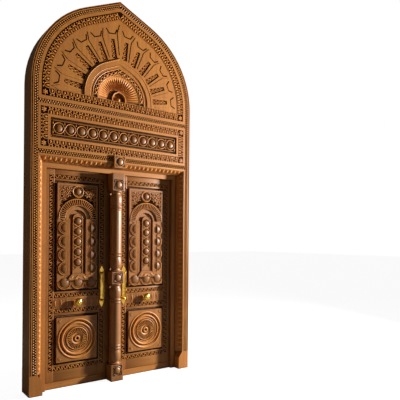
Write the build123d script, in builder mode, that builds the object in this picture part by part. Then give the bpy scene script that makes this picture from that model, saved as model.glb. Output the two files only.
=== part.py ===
from build123d import *
import math
import os

os.makedirs("parts", exist_ok=True)

# A pair of carved timber doors in an arched frame, in millimetres.
# X runs across the doorway, Y runs from the carved front towards the back, Z is up.
# The origin lies on the floor, under the middle of the centre post's foot.

# Outside of the frame
frame_width = 1820
frame_height = 4000
frame_depth = 230
spring_height = 3000

# Doorway between the stops
clear_width = 1463
clear_height = 2192
stop_width = 51.5
stop_thickness = 34.5
splay_width = 49
splay_depth = 67
reveal_depth = 127.5
rebate_lap = 18.5
swing_lap = 40.5
plinth_height = 200
plinth_slope = 70

# Borders round the frame and its head
margin_width = 65
groove_edge = 5
groove_width = 11
groove_depth = 8
checker_width = 39
checker_edge = 4
lintel_checker = 41
checker_depth = 3
lintel_top = 2357
transom_bottom = 2787
transom_top = 2835
head_board = 70
plain_strip = 30
head_facets = 13
leaf_band = 80
band_depth = 5
band_edge = 5

# Over-panel with its row of bosses
over_member = 119
over_strip = 24
over_band = 68
over_count = 12
over_plate = 22
over_sink = 25
over_field_drop = 4
over_boss_margin = 12
over_boss_gap = 3
over_boss_rise = 15
channel_end = 2
channel_edge = 5

# Fan in the arched head
fan_centre = 2968
fan_panels = 12
fan_drop = 4
fan_thickness = 60
slot_inner = 410
slot_outer = 600
slot_inner_width = 62
slot_outer_width = 40
slot_depth = 18
cup_radius = 646
cup_half = 35
cup_arm = 46
cup_spread = 30
cup_groove = 11
cup_groove_depth = 6
kite_inner = 424
kite_wide = 632
kite_outer = 716
kite_half = 27
kite_rise = 4
ring_outer = 394
ring_width = 59
ring_rise = 9
step_width = 28
shell_drop = 3
shell_outer = 240
shell_rim = 2
shell_mouth = 83
shell_hole = 69
mouth_drop = 8
hole_depth = 8
shell_depth = 34
shell_flutes = 25
shell_flute_width = 17
shell_flute_depth = 9
shell_flute_overrun = 4
bead_radius = 24

# Centre post
post_width = 136
post_foot = 170
post_block = 128
post_middle = 1088
post_top_block = 2072
post_foot_boss = 108
turning_length = 216
turning_gap = 9
shaft_radius = 58.5
shaft_lap = 17
ring_radius = 62
foot_ring = 13
end_ring = 22
middle_ring = 19
neck_radius = 45
neck_length = 43
bulge_radius = 60
bulge_length = 112
bulge_lap = 13
bulge_ease = 12
collar_radius = 52
collar_length = 30
collar_lap = 4
boss_field = 108
boss_field_depth = 7
octagon_rise = 6
octagon_gap = 4
block_boss_radius = 38
block_boss_rise = 16
keystone_width = 126
keystone_height = 130
keystone_rise = 28

# Leaves
leaf_clearance = 3
seal_gap = 1.5
leaf_thickness = 60
leaf_bevel = 2.5
threshold_height = 68
threshold_chamfer = 12
hinge_stile_width = 110
meeting_stile_width = 161.5
top_rail_height = 129
bottom_rail_height = 163.4
lock_rail_bottom = 726.6
lock_rail_height = 239
plate_thickness = 22
plate_sink = 16
plate_tongue = 12
tongue_clearance = 0.2
field_margin = 24
field_rise = 20
rope_width = 40
rope_depth = 4
rope_ridge = 13
rope_from_recess = 14
rail_rope_offset = 19
lock_rope_shift = 6
rope_handle_gap = 12
arcade_height = 90
arcade_pitch = 64
arcade_count = 8
arcade_width = 26
arcade_depth = 6

# Carving of the upper leaf panel
arch_height = 1700
arch_outer = 206
arch_flute_outer = 196
arch_inner = 136
arch_flutes = 27
arch_flute_width = 12
arch_flute_depth = 6
arch_flute_end = 5
flute_overshoot = 1
ground_depth = 10
niche_radius = 95
niche_half = 84
niche_depth = 30
niche_foot = 1086
fin_width = 20
column_half = 54
column_rise = 26
column_boss_pitch = 104.6
column_boss_count = 5
column_boss_radius = 36
column_boss_drop = 24
panel_boss_rise = 13
side_boss_rise = 12
notch_depth = 5
column_notch_edge = 5
column_notch_tip = 12
column_notch_half = 30
side_notch_edge = 4
side_notch_tip = 14
side_notch_end = 26
corbel_top = 1140
corbel_half_top = 62
corbel_half_foot = 116
corbel_rise = 14
corbel_drop = 8
side_boss_pitch = 137
side_boss_count = 4
side_boss_first = 1197
side_boss_radius = 42
foot_boss_pitch = 142
foot_boss_radius = 48
foot_boss_height = 1055
spandrel_inset = 20
spandrel_depth = 8
rosette_height = 1978
rosette_boss = 34
rosette_rise = 14

# Carving of the lower leaf panel
roundel_radius = 189
roundel_rim = 165
roundel_hollow = 150
roundel_bead = 115
roundel_face = 106
roundel_eye = 58
roundel_hub = 30
roundel_hole = 14
roundel_depth = 12
roundel_bead_depth = 8
roundel_face_depth = 6
roundel_flute_half = 5
roundel_flute_depth = 4
roundel_flute_margin = 5
roundel_flutes = 24

# Brass furniture
handle_offset = 128.5
handle_foot = 775
handle_length = 440
handle_plate_width = 54
handle_plate_thickness = 5
handle_plate_taper = 15
handle_tip_width = 24
handle_waist_width = 38
handle_tip = 22
handle_lobe_start = 52
handle_lobe_end = 92
handle_waist = 112
grip_radius = 8
grip_stand = 44
grip_mount_inset = 78
grip_tail = 26
grip_ease = 3
grip_mount_radius = 14
grip_mount_thickness = 6
grip_arm_radius = 9
grip_collar_radius = 12
grip_collar = 24
knob_height = 848
knob_radius = 45
knob_stand = 62
knob_head = 30
knob_stem_radius = 14
knob_under_run = 22.5
knob_under_rise = 12
knob_over_run = 6.75
knob_over_rise = 9
knob_ring_outer = 31.5
knob_ring_inner = 15.75
knob_ring_depth = 4
rose_radius = 31
rose_thickness = 5
rose_chamfer = 2
rose_gap = 4

# Hinges
hinge_heights = (330, 1140, 1950)
hinge_length = 120
hinge_knuckle_radius = 7.5
hinge_pin_radius = 4
hinge_pin_clearance = 0.08
pin_sides = 12
hinge_pin_offset = 9
hinge_knuckle_gap = 0.5
hinge_leaf_width = 38
hinge_leaf_thickness = 2.4
hinge_let_in = 1.2
hinge_cap = 7
hinge_plate_gap = 0.6
pin_root = 1

# Wall fixings through the jambs
fixing_low = 500
fixing_pitch = 1000
fixing_radius = 5.5

# Planes and limits worked out from the sizes above
half_width = frame_width / 2
front_y = -reveal_depth / 2
seat_y = front_y + reveal_depth
back_y = front_y + frame_depth
leaf_front_y = seat_y + seal_gap
leaf_back_y = leaf_front_y + leaf_thickness
head_back_y = front_y + head_board
panel_half = half_width - margin_width
groove_outer_half = half_width - groove_edge
groove_inner_half = groove_outer_half - groove_width
clear_half = clear_width / 2
reveal_half = clear_half + stop_width
splay_half = reveal_half + splay_width
rebate_half = clear_half + rebate_lap
swing_half = clear_half + swing_lap
reveal_height = clear_height + stop_width
splay_height = reveal_height + splay_width
rebate_height = clear_height + rebate_lap
swing_height = clear_height + swing_lap
slope_angle = math.asin(half_width / (frame_height - spring_height))
field_half = panel_half - plain_strip - leaf_band
field_foot = transom_top + plain_strip + leaf_band
leaf_outer_x = rebate_half - leaf_clearance
leaf_meet_x = leaf_clearance / 2
leaf_foot = threshold_height + leaf_clearance
leaf_top = rebate_height - leaf_clearance
recess_outer_x = leaf_outer_x - hinge_stile_width
recess_inner_x = leaf_meet_x + meeting_stile_width
leaf_centre_x = -(recess_outer_x + recess_inner_x) / 2
recess_half = (recess_outer_x - recess_inner_x) / 2
upper_foot = lock_rail_bottom + lock_rail_height
upper_top = leaf_top - top_rail_height
lower_foot = leaf_foot + bottom_rail_height
lower_top = lock_rail_bottom
plate_front_y = leaf_front_y + plate_sink
field_front_y = leaf_front_y - field_rise
pin_x = -(rebate_half - leaf_clearance / 2)
pin_y = leaf_back_y + hinge_pin_offset


def face_plane(y, x=0, z=0):
    """Upright plane facing the front at depth y: sketch X runs across the door, sketch Y runs up."""
    return Plane(origin=(x, y, z), x_dir=(1, 0, 0), z_dir=(0, -1, 0))


def block(x, y, z, mode=Mode.ADD):
    """A square-edged length of timber between two limits along each axis."""
    with Locations((sum(x) / 2, sum(y) / 2, sum(z) / 2)):
        Box(abs(x[1] - x[0]), abs(y[1] - y[0]), abs(z[1] - z[0]), mode=mode)


def keel(angle):
    """How much further out the pointed head lies than its arc, at an angle above the horizontal."""
    steep = abs(angle) if abs(angle) <= 90 else 180 - abs(angle)
    beyond = math.radians(steep) - slope_angle
    return 1 / math.cos(beyond) if beyond > 0 else 1


def head_face(y, radius, foot, centre=spring_height):
    """Outline of the pointed head: upright sides, a curve in short facets, then slopes to the point."""
    angles = [slope_angle * step / head_facets for step in range(head_facets + 1)]
    right = [(radius * math.cos(angle), centre + radius * math.sin(angle)) for angle in angles]
    left = [(-x, z) for x, z in reversed(right)]
    point = (0, centre + radius / math.sin(slope_angle))
    feet = [(-radius, foot), (radius, foot)] if foot < centre else []
    with BuildSketch(face_plane(y)) as face:
        with BuildLine():
            Polyline(*feet, *right, point, *left, close=True)
        make_face()
    return face.sketch


def write_pair(piece, name):
    """Write a left-hand piece and its mirror image on the right."""
    other = mirror(piece, about=Plane.YZ)
    piece.label = f"{name}_left"
    other.label = f"{name}_right"
    export_step(piece, f"parts/{piece.label}.step")
    export_step(other, f"parts/{other.label}.step")


def many_sided(plane, radius, sides):
    """Many-sided face lying on a plane."""
    with BuildSketch(plane) as face:
        RegularPolygon(radius, sides)
    return face.sketch


def ring_face(plane, outer, inner, sides):
    """Many-sided ring lying on a plane, measured across its flats."""
    with BuildSketch(plane) as face:
        RegularPolygon(outer, sides, major_radius=False, rotation=180 / sides)
        RegularPolygon(inner, sides, major_radius=False, rotation=180 / sides, mode=Mode.SUBTRACT)
    return face.sketch


def dome(radius, rise, sides=8):
    """A low dome in facets at the origin, facing the front, with a foot let into what carries it."""
    foot = rise / 3
    with BuildPart(mode=Mode.PRIVATE) as stud:
        with BuildSketch(face_plane(foot)):
            RegularPolygon(radius, sides, rotation=180 / sides)
        extrude(amount=foot + rise)
        top = stud.faces().sort_by(Axis.Y)[0]
        chamfer(top.edges(), length=radius / 2, length2=rise, reference=top)
    return stud.part


def spindle(radius, length, ease=0, sides=10):
    """A turned length in facets, standing on the origin, with both of its ends eased."""
    with BuildPart(mode=Mode.PRIVATE) as turned:
        with BuildSketch():
            RegularPolygon(radius, sides)
        extrude(amount=length)
        if ease:
            for end in (turned.faces().sort_by(Axis.Z)[0], turned.faces().sort_by(Axis.Z)[-1]):
                chamfer(end.edges(), length=ease, length2=min(2 * ease, length * 0.45), reference=end)
    return turned.part


def ringed_square(y, x, z, size, radius):
    """A sunk square holding an eight-sided ring with a dome in it."""
    half = size / 2
    block((x - half, x + half), (y, y + boss_field_depth), (z - half, z + half), Mode.SUBTRACT)
    floor = face_plane(y + boss_field_depth, x, z)
    extrude(ring_face(floor, half, radius + octagon_gap, 8), amount=octagon_rise)
    add(dome(radius, block_boss_rise).moved(Location((x, y + boss_field_depth, z))))


# Jambs: a full-height stile with a splayed and rebated inner edge below the head

with BuildPart() as jamb:
    with BuildSketch():
        with BuildLine():
            Polyline(
                (-half_width, front_y), (-splay_half, front_y),
                (-reveal_half, front_y + splay_depth), (-reveal_half, seat_y),
                (-rebate_half, seat_y), (-rebate_half, leaf_back_y),
                (-swing_half, leaf_back_y), (-swing_half, back_y),
                (-half_width, back_y), close=True,
            )
        make_face()
    extrude(amount=spring_height)
    with BuildSketch(face_plane(back_y)):
        Polygon(
            (-panel_half, spring_height), (-panel_half, clear_height + panel_half - clear_half),
            (-clear_half, clear_height), (-clear_half, spring_height), align=None,
        )
    extrude(amount=frame_depth, mode=Mode.SUBTRACT)
    with BuildSketch():
        Polygon(
            (-splay_half, front_y), (-reveal_half, front_y),
            (-reveal_half, front_y + splay_depth), align=None,
        )
    extrude(amount=plinth_height)
    with BuildSketch(face_plane(seat_y)):
        Polygon(
            (-splay_half, plinth_height), (-reveal_half, plinth_height - plinth_slope),
            (-reveal_half, plinth_height), align=None,
        )
    extrude(amount=reveal_depth, mode=Mode.SUBTRACT)
    groove_x = (-groove_outer_half, -groove_inner_half)
    block(groove_x, (front_y, front_y + groove_depth), (plinth_height, spring_height), Mode.SUBTRACT)
    checker_x = (-panel_half, -(panel_half + checker_width))
    block(checker_x, (front_y, front_y + checker_depth), (plinth_height, spring_height), Mode.SUBTRACT)
    for height in hinge_heights:
        block(
            (-rebate_half, -rebate_half - hinge_let_in),
            (pin_y - hinge_pin_offset - hinge_leaf_width, pin_y),
            (height - hinge_length / 2, height + hinge_length / 2), Mode.SUBTRACT,
        )
    for height in (fixing_low, fixing_low + fixing_pitch):
        with Locations(Location((-half_width, (leaf_back_y + back_y) / 2, height), (0, 90, 0))):
            Cylinder(fixing_radius, 3 * (half_width - swing_half), mode=Mode.SUBTRACT)
write_pair(jamb.part, "jamb")

# Arched head: two curved members meeting at the point

with BuildPart() as arch:
    extrude(head_face(back_y, half_width, spring_height), amount=frame_depth)
    extrude(head_face(back_y, panel_half, spring_height), amount=frame_depth, mode=Mode.SUBTRACT)
    groove_outer = head_face(front_y + groove_depth, groove_outer_half, spring_height)
    groove_inner = head_face(front_y + groove_depth, groove_inner_half, spring_height)
    extrude(groove_outer - groove_inner, amount=groove_depth, mode=Mode.SUBTRACT)
    checker_outer = head_face(front_y + checker_depth, panel_half + checker_width, spring_height)
    extrude(checker_outer, amount=checker_depth, mode=Mode.SUBTRACT)
    split(bisect_by=Plane.YZ, keep=Keep.BOTTOM)
write_pair(arch.part, "arch")

# Lintel over the doorway, mitred to the jambs' splays

with BuildPart() as lintel:
    with BuildSketch(Plane.YZ.offset(-panel_half)):
        with BuildLine():
            Polyline(
                (front_y, lintel_top), (front_y, splay_height),
                (front_y + splay_depth, reveal_height), (seat_y, reveal_height),
                (seat_y, rebate_height), (leaf_back_y, rebate_height),
                (leaf_back_y, swing_height), (back_y, swing_height),
                (back_y, lintel_top), close=True,
            )
        make_face()
    extrude(amount=2 * panel_half)
    mitre_top = clear_height + panel_half - clear_half
    for side in (-1, 1):
        with BuildSketch(face_plane(back_y)):
            Polygon(
                (side * panel_half, mitre_top), (side * clear_half, clear_height),
                (side * panel_half, clear_height), align=None,
            )
        extrude(amount=frame_depth, mode=Mode.SUBTRACT)
    block(
        (-panel_half, panel_half), (front_y, front_y + checker_depth),
        (lintel_top - checker_edge - lintel_checker, lintel_top - checker_edge), Mode.SUBTRACT,
    )
lintel.part.label = "lintel"
export_step(lintel.part, "parts/lintel.step")

# Stops round the doorway, mitred at the head

stop_y = (seat_y - stop_thickness, seat_y)
with BuildPart() as stop:
    block((-reveal_half, -clear_half), stop_y, (0, reveal_height))
    with BuildSketch(face_plane(seat_y)):
        Polygon(
            (-reveal_half, reveal_height), (-clear_half, clear_height),
            (-clear_half, reveal_height), align=None,
        )
    extrude(amount=stop_thickness, mode=Mode.SUBTRACT)
write_pair(stop.part, "stop")

with BuildPart() as stop_head:
    with BuildSketch(face_plane(seat_y)):
        Polygon(
            (-reveal_half, reveal_height), (-clear_half, clear_height),
            (clear_half, clear_height), (reveal_half, reveal_height), align=None,
        )
    extrude(amount=stop_thickness)
stop_head.part.label = "stop_head"
export_step(stop_head.part, "parts/stop_head.step")

with BuildPart() as threshold:
    block((-rebate_half, rebate_half), (seat_y, leaf_back_y), (0, threshold_height))
    block((-swing_half, swing_half), (leaf_back_y, back_y), (0, threshold_height))
    back_edge = threshold.edges().filter_by(Axis.X).group_by(Axis.Z)[-1].sort_by(Axis.Y)[-1]
    chamfer(back_edge, threshold_chamfer)
threshold.part.label = "threshold"
export_step(threshold.part, "parts/threshold.step")

# Rail with the checker border between the over-panel and the head

with BuildPart() as transom:
    block((-panel_half, panel_half), (front_y, back_y), (transom_bottom, transom_top))
    block(
        (-panel_half, panel_half), (front_y, front_y + checker_depth),
        (transom_bottom + checker_edge, transom_top - checker_edge), Mode.SUBTRACT,
    )
transom.part.label = "transom"
export_step(transom.part, "parts/transom.step")

# Over-panel: four mitred members with a sunk leaf border, grooved for the boss panel

over_centre = (lintel_top + transom_bottom) / 2
over_half_height = (transom_bottom - lintel_top) / 2
over_recess_half = panel_half - over_member
over_recess_half_height = over_half_height - over_member
groove_front_y = front_y + over_sink - tongue_clearance
groove_back_y = front_y + over_sink + over_plate + tongue_clearance


def over_frame(y, thickness, inset, width):
    """Flat rectangular border, inset from the over-panel's outer edge, thickness deep from y forwards."""
    with BuildSketch(face_plane(y, 0, over_centre)) as face:
        Rectangle(2 * (panel_half - inset), 2 * (over_half_height - inset))
        Rectangle(
            2 * (panel_half - inset - width), 2 * (over_half_height - inset - width),
            mode=Mode.SUBTRACT,
        )
    return extrude(face.sketch, amount=thickness)


with BuildPart() as over_surround:
    add(over_frame(head_back_y, head_board, 0, over_member))
    add(over_frame(front_y + band_depth, band_depth, over_strip, over_band), mode=Mode.SUBTRACT)
    tongue_frame = over_frame(
        groove_back_y, groove_back_y - groove_front_y,
        over_member - plate_tongue - tongue_clearance, plate_tongue + tongue_clearance,
    )
    add(tongue_frame, mode=Mode.SUBTRACT)

corner = over_half_height
with BuildPart() as over_end:
    add(over_surround.part)
    with BuildSketch(face_plane(head_back_y, 0, over_centre)):
        Polygon(
            (-panel_half, -corner), (-panel_half + corner, 0), (-panel_half, corner), align=None,
        )
    extrude(amount=head_board, mode=Mode.INTERSECT)
write_pair(over_end.part, "over_panel_end")

for name, turn in (("upper", 1), ("lower", -1)):
    with BuildPart() as over_rail:
        add(over_surround.part)
        with BuildSketch(face_plane(head_back_y, 0, over_centre)):
            Polygon(
                (-panel_half, turn * corner), (-panel_half + corner, 0),
                (panel_half - corner, 0), (panel_half, turn * corner), align=None,
            )
        extrude(amount=head_board, mode=Mode.INTERSECT)
    over_rail.part.label = f"over_panel_rail_{name}"
    export_step(over_rail.part, f"parts/over_panel_rail_{name}.step")

boss_pitch = 2 * (over_recess_half - field_margin) / over_count
boss_field_front = front_y + over_field_drop
boss_field_half_height = over_recess_half_height - field_margin
with BuildPart() as boss_panel:
    plate_y = (front_y + over_sink, front_y + over_sink + over_plate)
    tongue_x = over_recess_half + plate_tongue
    tongue_z = over_recess_half_height + plate_tongue
    block((-tongue_x, tongue_x), plate_y, (over_centre - tongue_z, over_centre + tongue_z))
    field_x = over_recess_half - field_margin
    block(
        (-field_x, field_x), (boss_field_front, plate_y[0]),
        (over_centre - boss_field_half_height, over_centre + boss_field_half_height),
    )
    channel_x = field_x - channel_end
    channel_z = boss_field_half_height - channel_edge
    block(
        (-channel_x, channel_x), (boss_field_front, boss_field_front + boss_field_depth),
        (over_centre - channel_z, over_centre + channel_z), Mode.SUBTRACT,
    )
    channel_floor = boss_field_front + boss_field_depth
    boss_radius = boss_pitch / 2 - over_boss_margin
    over_boss = dome(boss_radius, over_boss_rise)
    for index in range(over_count):
        boss_x = (index - (over_count - 1) / 2) * boss_pitch
        floor = face_plane(channel_floor, boss_x, over_centre)
        octagon = ring_face(floor, boss_pitch / 2, boss_radius + over_boss_gap, 8)
        extrude(octagon, amount=octagon_rise)
        add(over_boss.moved(Location((boss_x, channel_floor, over_centre))))
boss_panel.part.label = "boss_panel"
export_step(boss_panel.part, "parts/boss_panel.step")

# Border round the arched head: two curved members and a sill, mitred at the corners

band_outer = panel_half - plain_strip
with BuildPart() as head_border:
    extrude(head_face(head_back_y, panel_half, transom_top), amount=head_board)
    extrude(head_face(head_back_y, field_half, field_foot), amount=head_board, mode=Mode.SUBTRACT)
    sunk_outer = head_face(front_y + band_depth, band_outer, transom_top + plain_strip)
    sunk_inner = head_face(front_y + band_depth, field_half + band_edge, field_foot - band_edge)
    extrude(sunk_outer - sunk_inner, amount=band_depth, mode=Mode.SUBTRACT)

with BuildPart() as border_side:
    add(head_border.part)
    with BuildSketch(face_plane(head_back_y)):
        Polygon(
            (0, frame_height), (-half_width, frame_height), (-half_width, transom_top),
            (-panel_half, transom_top), (0, transom_top + panel_half), align=None,
        )
    extrude(amount=head_board, mode=Mode.INTERSECT)
write_pair(border_side.part, "head_border")

with BuildPart() as border_sill:
    add(head_border.part)
    with BuildSketch(face_plane(head_back_y)):
        Polygon(
            (-panel_half, transom_top), (panel_half, transom_top), (0, transom_top + panel_half),
            align=None,
        )
    extrude(amount=head_board, mode=Mode.INTERSECT)
border_sill.part.label = "head_border_sill"
export_step(border_sill.part, "parts/head_border_sill.step")

# Fan panel: radial slots, a cup-shaped groove past the end of each, and kite-shaped ribs between them

fan_front_y = front_y + fan_drop
fan_pitch = 180 / fan_panels


def polar(radius, angle, across=0):
    """Point at a radius and angle from the fan's centre, moved sideways by across."""
    reach = radius * keel(angle)
    turn = math.radians(angle)
    x = reach * math.cos(turn) - across * math.sin(turn)
    z = fan_centre + reach * math.sin(turn) + across * math.cos(turn)
    return (x, z)


with BuildPart() as fan:
    extrude(head_face(fan_front_y + fan_thickness, field_half, field_foot), amount=fan_thickness)
    extrude(
        head_face(fan_front_y + fan_thickness, ring_outer, field_foot, fan_centre),
        amount=fan_thickness, mode=Mode.SUBTRACT,
    )
    with BuildSketch(face_plane(fan_front_y)):
        for index in range(fan_panels):
            angle = (index + 0.5) * fan_pitch
            Polygon(
                polar(slot_inner, angle, -slot_inner_width / 2),
                polar(slot_outer, angle, -slot_outer_width / 2),
                polar(slot_outer, angle, slot_outer_width / 2),
                polar(slot_inner, angle, slot_inner_width / 2), align=None,
            )
    extrude(amount=-slot_depth, mode=Mode.SUBTRACT)
    with BuildSketch(face_plane(fan_front_y)):
        for index in range(fan_panels):
            angle = (index + 0.5) * fan_pitch
            far = cup_radius + cup_groove
            Polygon(
                polar(cup_radius + cup_arm, angle, -cup_half - cup_spread),
                polar(cup_radius, angle, -cup_half),
                polar(cup_radius, angle, cup_half),
                polar(cup_radius + cup_arm, angle, cup_half + cup_spread),
                polar(far + cup_arm, angle, cup_half + cup_spread - cup_groove / 2),
                polar(far, angle, cup_half - cup_groove / 2),
                polar(far, angle, cup_groove / 2 - cup_half),
                polar(far + cup_arm, angle, cup_groove / 2 - cup_half - cup_spread), align=None,
            )
    extrude(amount=-cup_groove_depth, mode=Mode.SUBTRACT)
    with BuildSketch(face_plane(fan_front_y)):
        for index in range(fan_panels + 1):
            angle = index * fan_pitch
            Polygon(
                polar(kite_inner, angle), polar(kite_wide, angle, -kite_half),
                polar(kite_outer, angle), polar(kite_wide, angle, kite_half), align=None,
            )
    extrude(amount=kite_rise)
    block(
        (-half_width, half_width), (front_y - frame_depth, back_y),
        (transom_bottom, field_foot), Mode.SUBTRACT,
    )
fan.part.label = "fan_panel"
export_step(fan.part, "parts/fan_panel.step")

# Pointed ring round the shell

with BuildPart() as ring:
    ring_back_y = fan_front_y + fan_thickness
    extrude(head_face(ring_back_y, ring_outer, field_foot, fan_centre), amount=fan_thickness + ring_rise)
    extrude(
        head_face(ring_back_y, ring_outer - ring_width - step_width, field_foot, fan_centre),
        amount=fan_thickness + ring_rise, mode=Mode.SUBTRACT,
    )
    extrude(
        head_face(fan_front_y, ring_outer - ring_width, field_foot, fan_centre),
        amount=ring_rise, mode=Mode.SUBTRACT,
    )
ring.part.label = "fan_ring"
export_step(ring.part, "parts/fan_ring.step")

# Shell: a dished half-round with flutes that fade inwards, and a small arched hole with a bead

shell_half = ring_outer - ring_width - step_width
shell_front_y = fan_front_y + shell_drop
shell_sides = shell_flutes + 1
with BuildPart(mode=Mode.PRIVATE) as dish:
    extrude(many_sided(face_plane(shell_front_y), shell_outer, shell_sides), amount=-shell_depth)
    deep_face = dish.faces().sort_by(Axis.Y)[-1]
    run = shell_outer - shell_mouth
    chamfer(deep_face.edges(), length=run, length2=shell_depth - shell_rim, reference=deep_face)

with BuildPart(mode=Mode.PRIVATE) as shell_flute:
    with BuildSketch(Plane.YZ.offset(shell_outer + shell_flute_overrun)):
        Polygon(
            (-shell_flute_width / 2, 0), (shell_flute_width / 2, 0), (0, -shell_flute_depth),
            align=None,
        )
    extrude(amount=-(shell_outer - shell_mouth) / 2)

with BuildPart() as shell:
    extrude(head_face(ring_back_y, shell_half, field_foot, fan_centre), amount=ring_back_y - shell_front_y)
    add(dish.part.moved(Location((0, 0, fan_centre))), mode=Mode.SUBTRACT)
    for index in range(shell_flutes):
        angle = (index + 0.5) * 180 / shell_flutes
        at = Location((0, shell_front_y, fan_centre), (90, 0, 0))
        add(shell_flute.part.moved(at * Location((0, 0, 0), (0, 0, angle))), mode=Mode.SUBTRACT)
    mouth_y = shell_front_y + shell_depth
    mouth = head_face(mouth_y, shell_mouth, field_foot, fan_centre)
    extrude(mouth, amount=shell_depth - mouth_drop)
    hole_y = mouth_y + hole_depth
    hole = head_face(hole_y, shell_hole, field_foot, fan_centre)
    extrude(hole, amount=shell_depth + hole_depth, mode=Mode.SUBTRACT)
    add(dome(bead_radius, shell_depth).moved(Location((0, hole_y, fan_centre))))
    block(
        (-half_width, half_width), (front_y - frame_depth, back_y),
        (transom_bottom, field_foot), Mode.SUBTRACT,
    )
shell.part.label = "shell_panel"
export_step(shell.part, "parts/shell_panel.step")

# Keystone block over the post

with BuildPart() as keystone:
    key_high = reveal_height + keystone_height
    keystone_z = (reveal_height + key_high) / 2
    with BuildSketch(Plane.YZ.offset(-keystone_width / 2)):
        with BuildLine():
            Polyline(
                (front_y - keystone_rise, reveal_height), (front_y - keystone_rise, key_high),
                (front_y, key_high), (front_y, splay_height),
                (front_y + splay_depth, reveal_height), close=True,
            )
        make_face()
    extrude(amount=keystone_width)
    ringed_square(front_y - keystone_rise, 0, keystone_z, boss_field, block_boss_radius)
keystone.part.label = "keystone"
export_step(keystone.part, "parts/keystone.step")

# Centre post: square blocks with bosses, and turned lengths between them

post_sections = (
    (0, post_foot),
    (post_middle - post_block / 2, post_middle + post_block / 2),
    (post_top_block - post_block / 2, clear_height),
)


def turned_pair(low, high, start, length, radius, ease=0):
    """One step of the turning above a block at low, and the same step hanging below the block at high."""
    step = spindle(radius, length, ease)
    add(step.moved(Location((0, 0, low + start))))
    add(step.moved(Location((0, 0, high - start - length))))


with BuildPart() as post:
    for low, high in post_sections:
        block((-post_width / 2, post_width / 2), (front_y, seat_y), (low, high))
    bulge_start = foot_ring + neck_length - bulge_lap
    collar_start = bulge_start + bulge_length
    end_start = turning_length - turning_gap - end_ring
    shaft_start = end_start + end_ring - shaft_lap
    for (_, low), (high, _) in zip(post_sections[:-1], post_sections[1:]):
        turned_pair(low, high, 0, foot_ring, ring_radius)
        turned_pair(low, high, foot_ring, neck_length, neck_radius)
        turned_pair(low, high, bulge_start, bulge_length, bulge_radius, bulge_ease)
        turned_pair(low, high, collar_start, collar_length, collar_radius)
        turned_pair(low, high, collar_start + collar_lap, middle_ring, ring_radius)
        turned_pair(low, high, end_start, end_ring, ring_radius)
        shaft = spindle(shaft_radius, high - low - 2 * shaft_start)
        add(shaft.moved(Location((0, 0, low + shaft_start))))
    for centre in (post_foot_boss, post_middle, post_top_block):
        ringed_square(front_y, 0, centre, boss_field, block_boss_radius)
post.part.label = "centre_post"
export_step(post.part, "parts/centre_post.step")

# Leaves, made for the left side and mirrored

leaf_y = (leaf_front_y, leaf_back_y)
groove_y = (plate_front_y - tongue_clearance, plate_front_y + plate_thickness + tongue_clearance)
groove_reach = plate_tongue + tongue_clearance


def ridge_face(plane, side):
    """Low ridge with a flat top, lying on a plane."""
    with BuildSketch(plane) as face:
        Polygon(
            (-rope_ridge, 0), (-rope_ridge / 2, side * rope_depth),
            (rope_ridge / 2, side * rope_depth), (rope_ridge, 0), align=None,
        )
    return face.sketch


def rope(x, z):
    """A sunk channel with a raised ridge along it, between two limits across and two limits up."""
    block(x, (leaf_front_y, leaf_front_y + rope_depth), z, Mode.SUBTRACT)
    floor = leaf_front_y + rope_depth
    wide = max(x) - min(x)
    high = max(z) - min(z)
    if high > wide:
        plane = Plane(origin=(sum(x) / 2, floor, min(z)), x_dir=(1, 0, 0), z_dir=(0, 0, 1))
        extrude(ridge_face(plane, -1), amount=high)
    else:
        plane = Plane(origin=(min(x), floor, sum(z) / 2), x_dir=(0, 0, 1), z_dir=(1, 0, 0))
        extrude(ridge_face(plane, 1), amount=wide)


rope_top = upper_top + rail_rope_offset + rope_width
rope_foot = lower_foot - rail_rope_offset - rope_width
outer_rope_x = (-(recess_outer_x + rope_from_recess + rope_width), -(recess_outer_x + rope_from_recess))
inner_rope_x = (-(recess_inner_x - rope_from_recess), -(recess_inner_x - rope_from_recess - rope_width))
stile_grooves = ((lower_foot, lower_top), (upper_foot, upper_top))

with BuildPart() as hinge_stile:
    block((-leaf_outer_x, -recess_outer_x), leaf_y, (leaf_foot, leaf_top))
    for low, high in stile_grooves:
        block((-recess_outer_x - groove_reach, -recess_outer_x), groove_y,
              (low - groove_reach, high + groove_reach), Mode.SUBTRACT)
    rope(outer_rope_x, (rope_foot, rope_top))
    for height in hinge_heights:
        block(
            (-leaf_outer_x, -leaf_outer_x + hinge_let_in),
            (pin_y - hinge_pin_offset - hinge_leaf_width, leaf_back_y),
            (height - hinge_length / 2, height + hinge_length / 2), Mode.SUBTRACT,
        )
write_pair(hinge_stile.part, "hinge_stile")

with BuildPart() as meeting_stile:
    with BuildSketch(Plane.XY.offset(leaf_foot)):
        Polygon(
            (-recess_inner_x, leaf_front_y), (-leaf_meet_x - leaf_bevel, leaf_front_y),
            (-leaf_meet_x, leaf_back_y), (-recess_inner_x, leaf_back_y), align=None,
        )
    extrude(amount=leaf_top - leaf_foot)
    for low, high in stile_grooves:
        block((-recess_inner_x, -recess_inner_x + groove_reach), groove_y,
              (low - groove_reach, high + groove_reach), Mode.SUBTRACT)
    rope(inner_rope_x, (rope_foot, handle_foot - rope_handle_gap))
    rope(inner_rope_x, (handle_foot + handle_length + rope_handle_gap, rope_top))
write_pair(meeting_stile.part, "meeting_stile")

rail_x = (-recess_outer_x, -recess_inner_x)
with BuildPart() as top_rail:
    block(rail_x, leaf_y, (upper_top, leaf_top))
    block(rail_x, groove_y, (upper_top, upper_top + groove_reach), Mode.SUBTRACT)
    rope(rail_x, (upper_top + rail_rope_offset, rope_top))
write_pair(top_rail.part, "top_rail")

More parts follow.
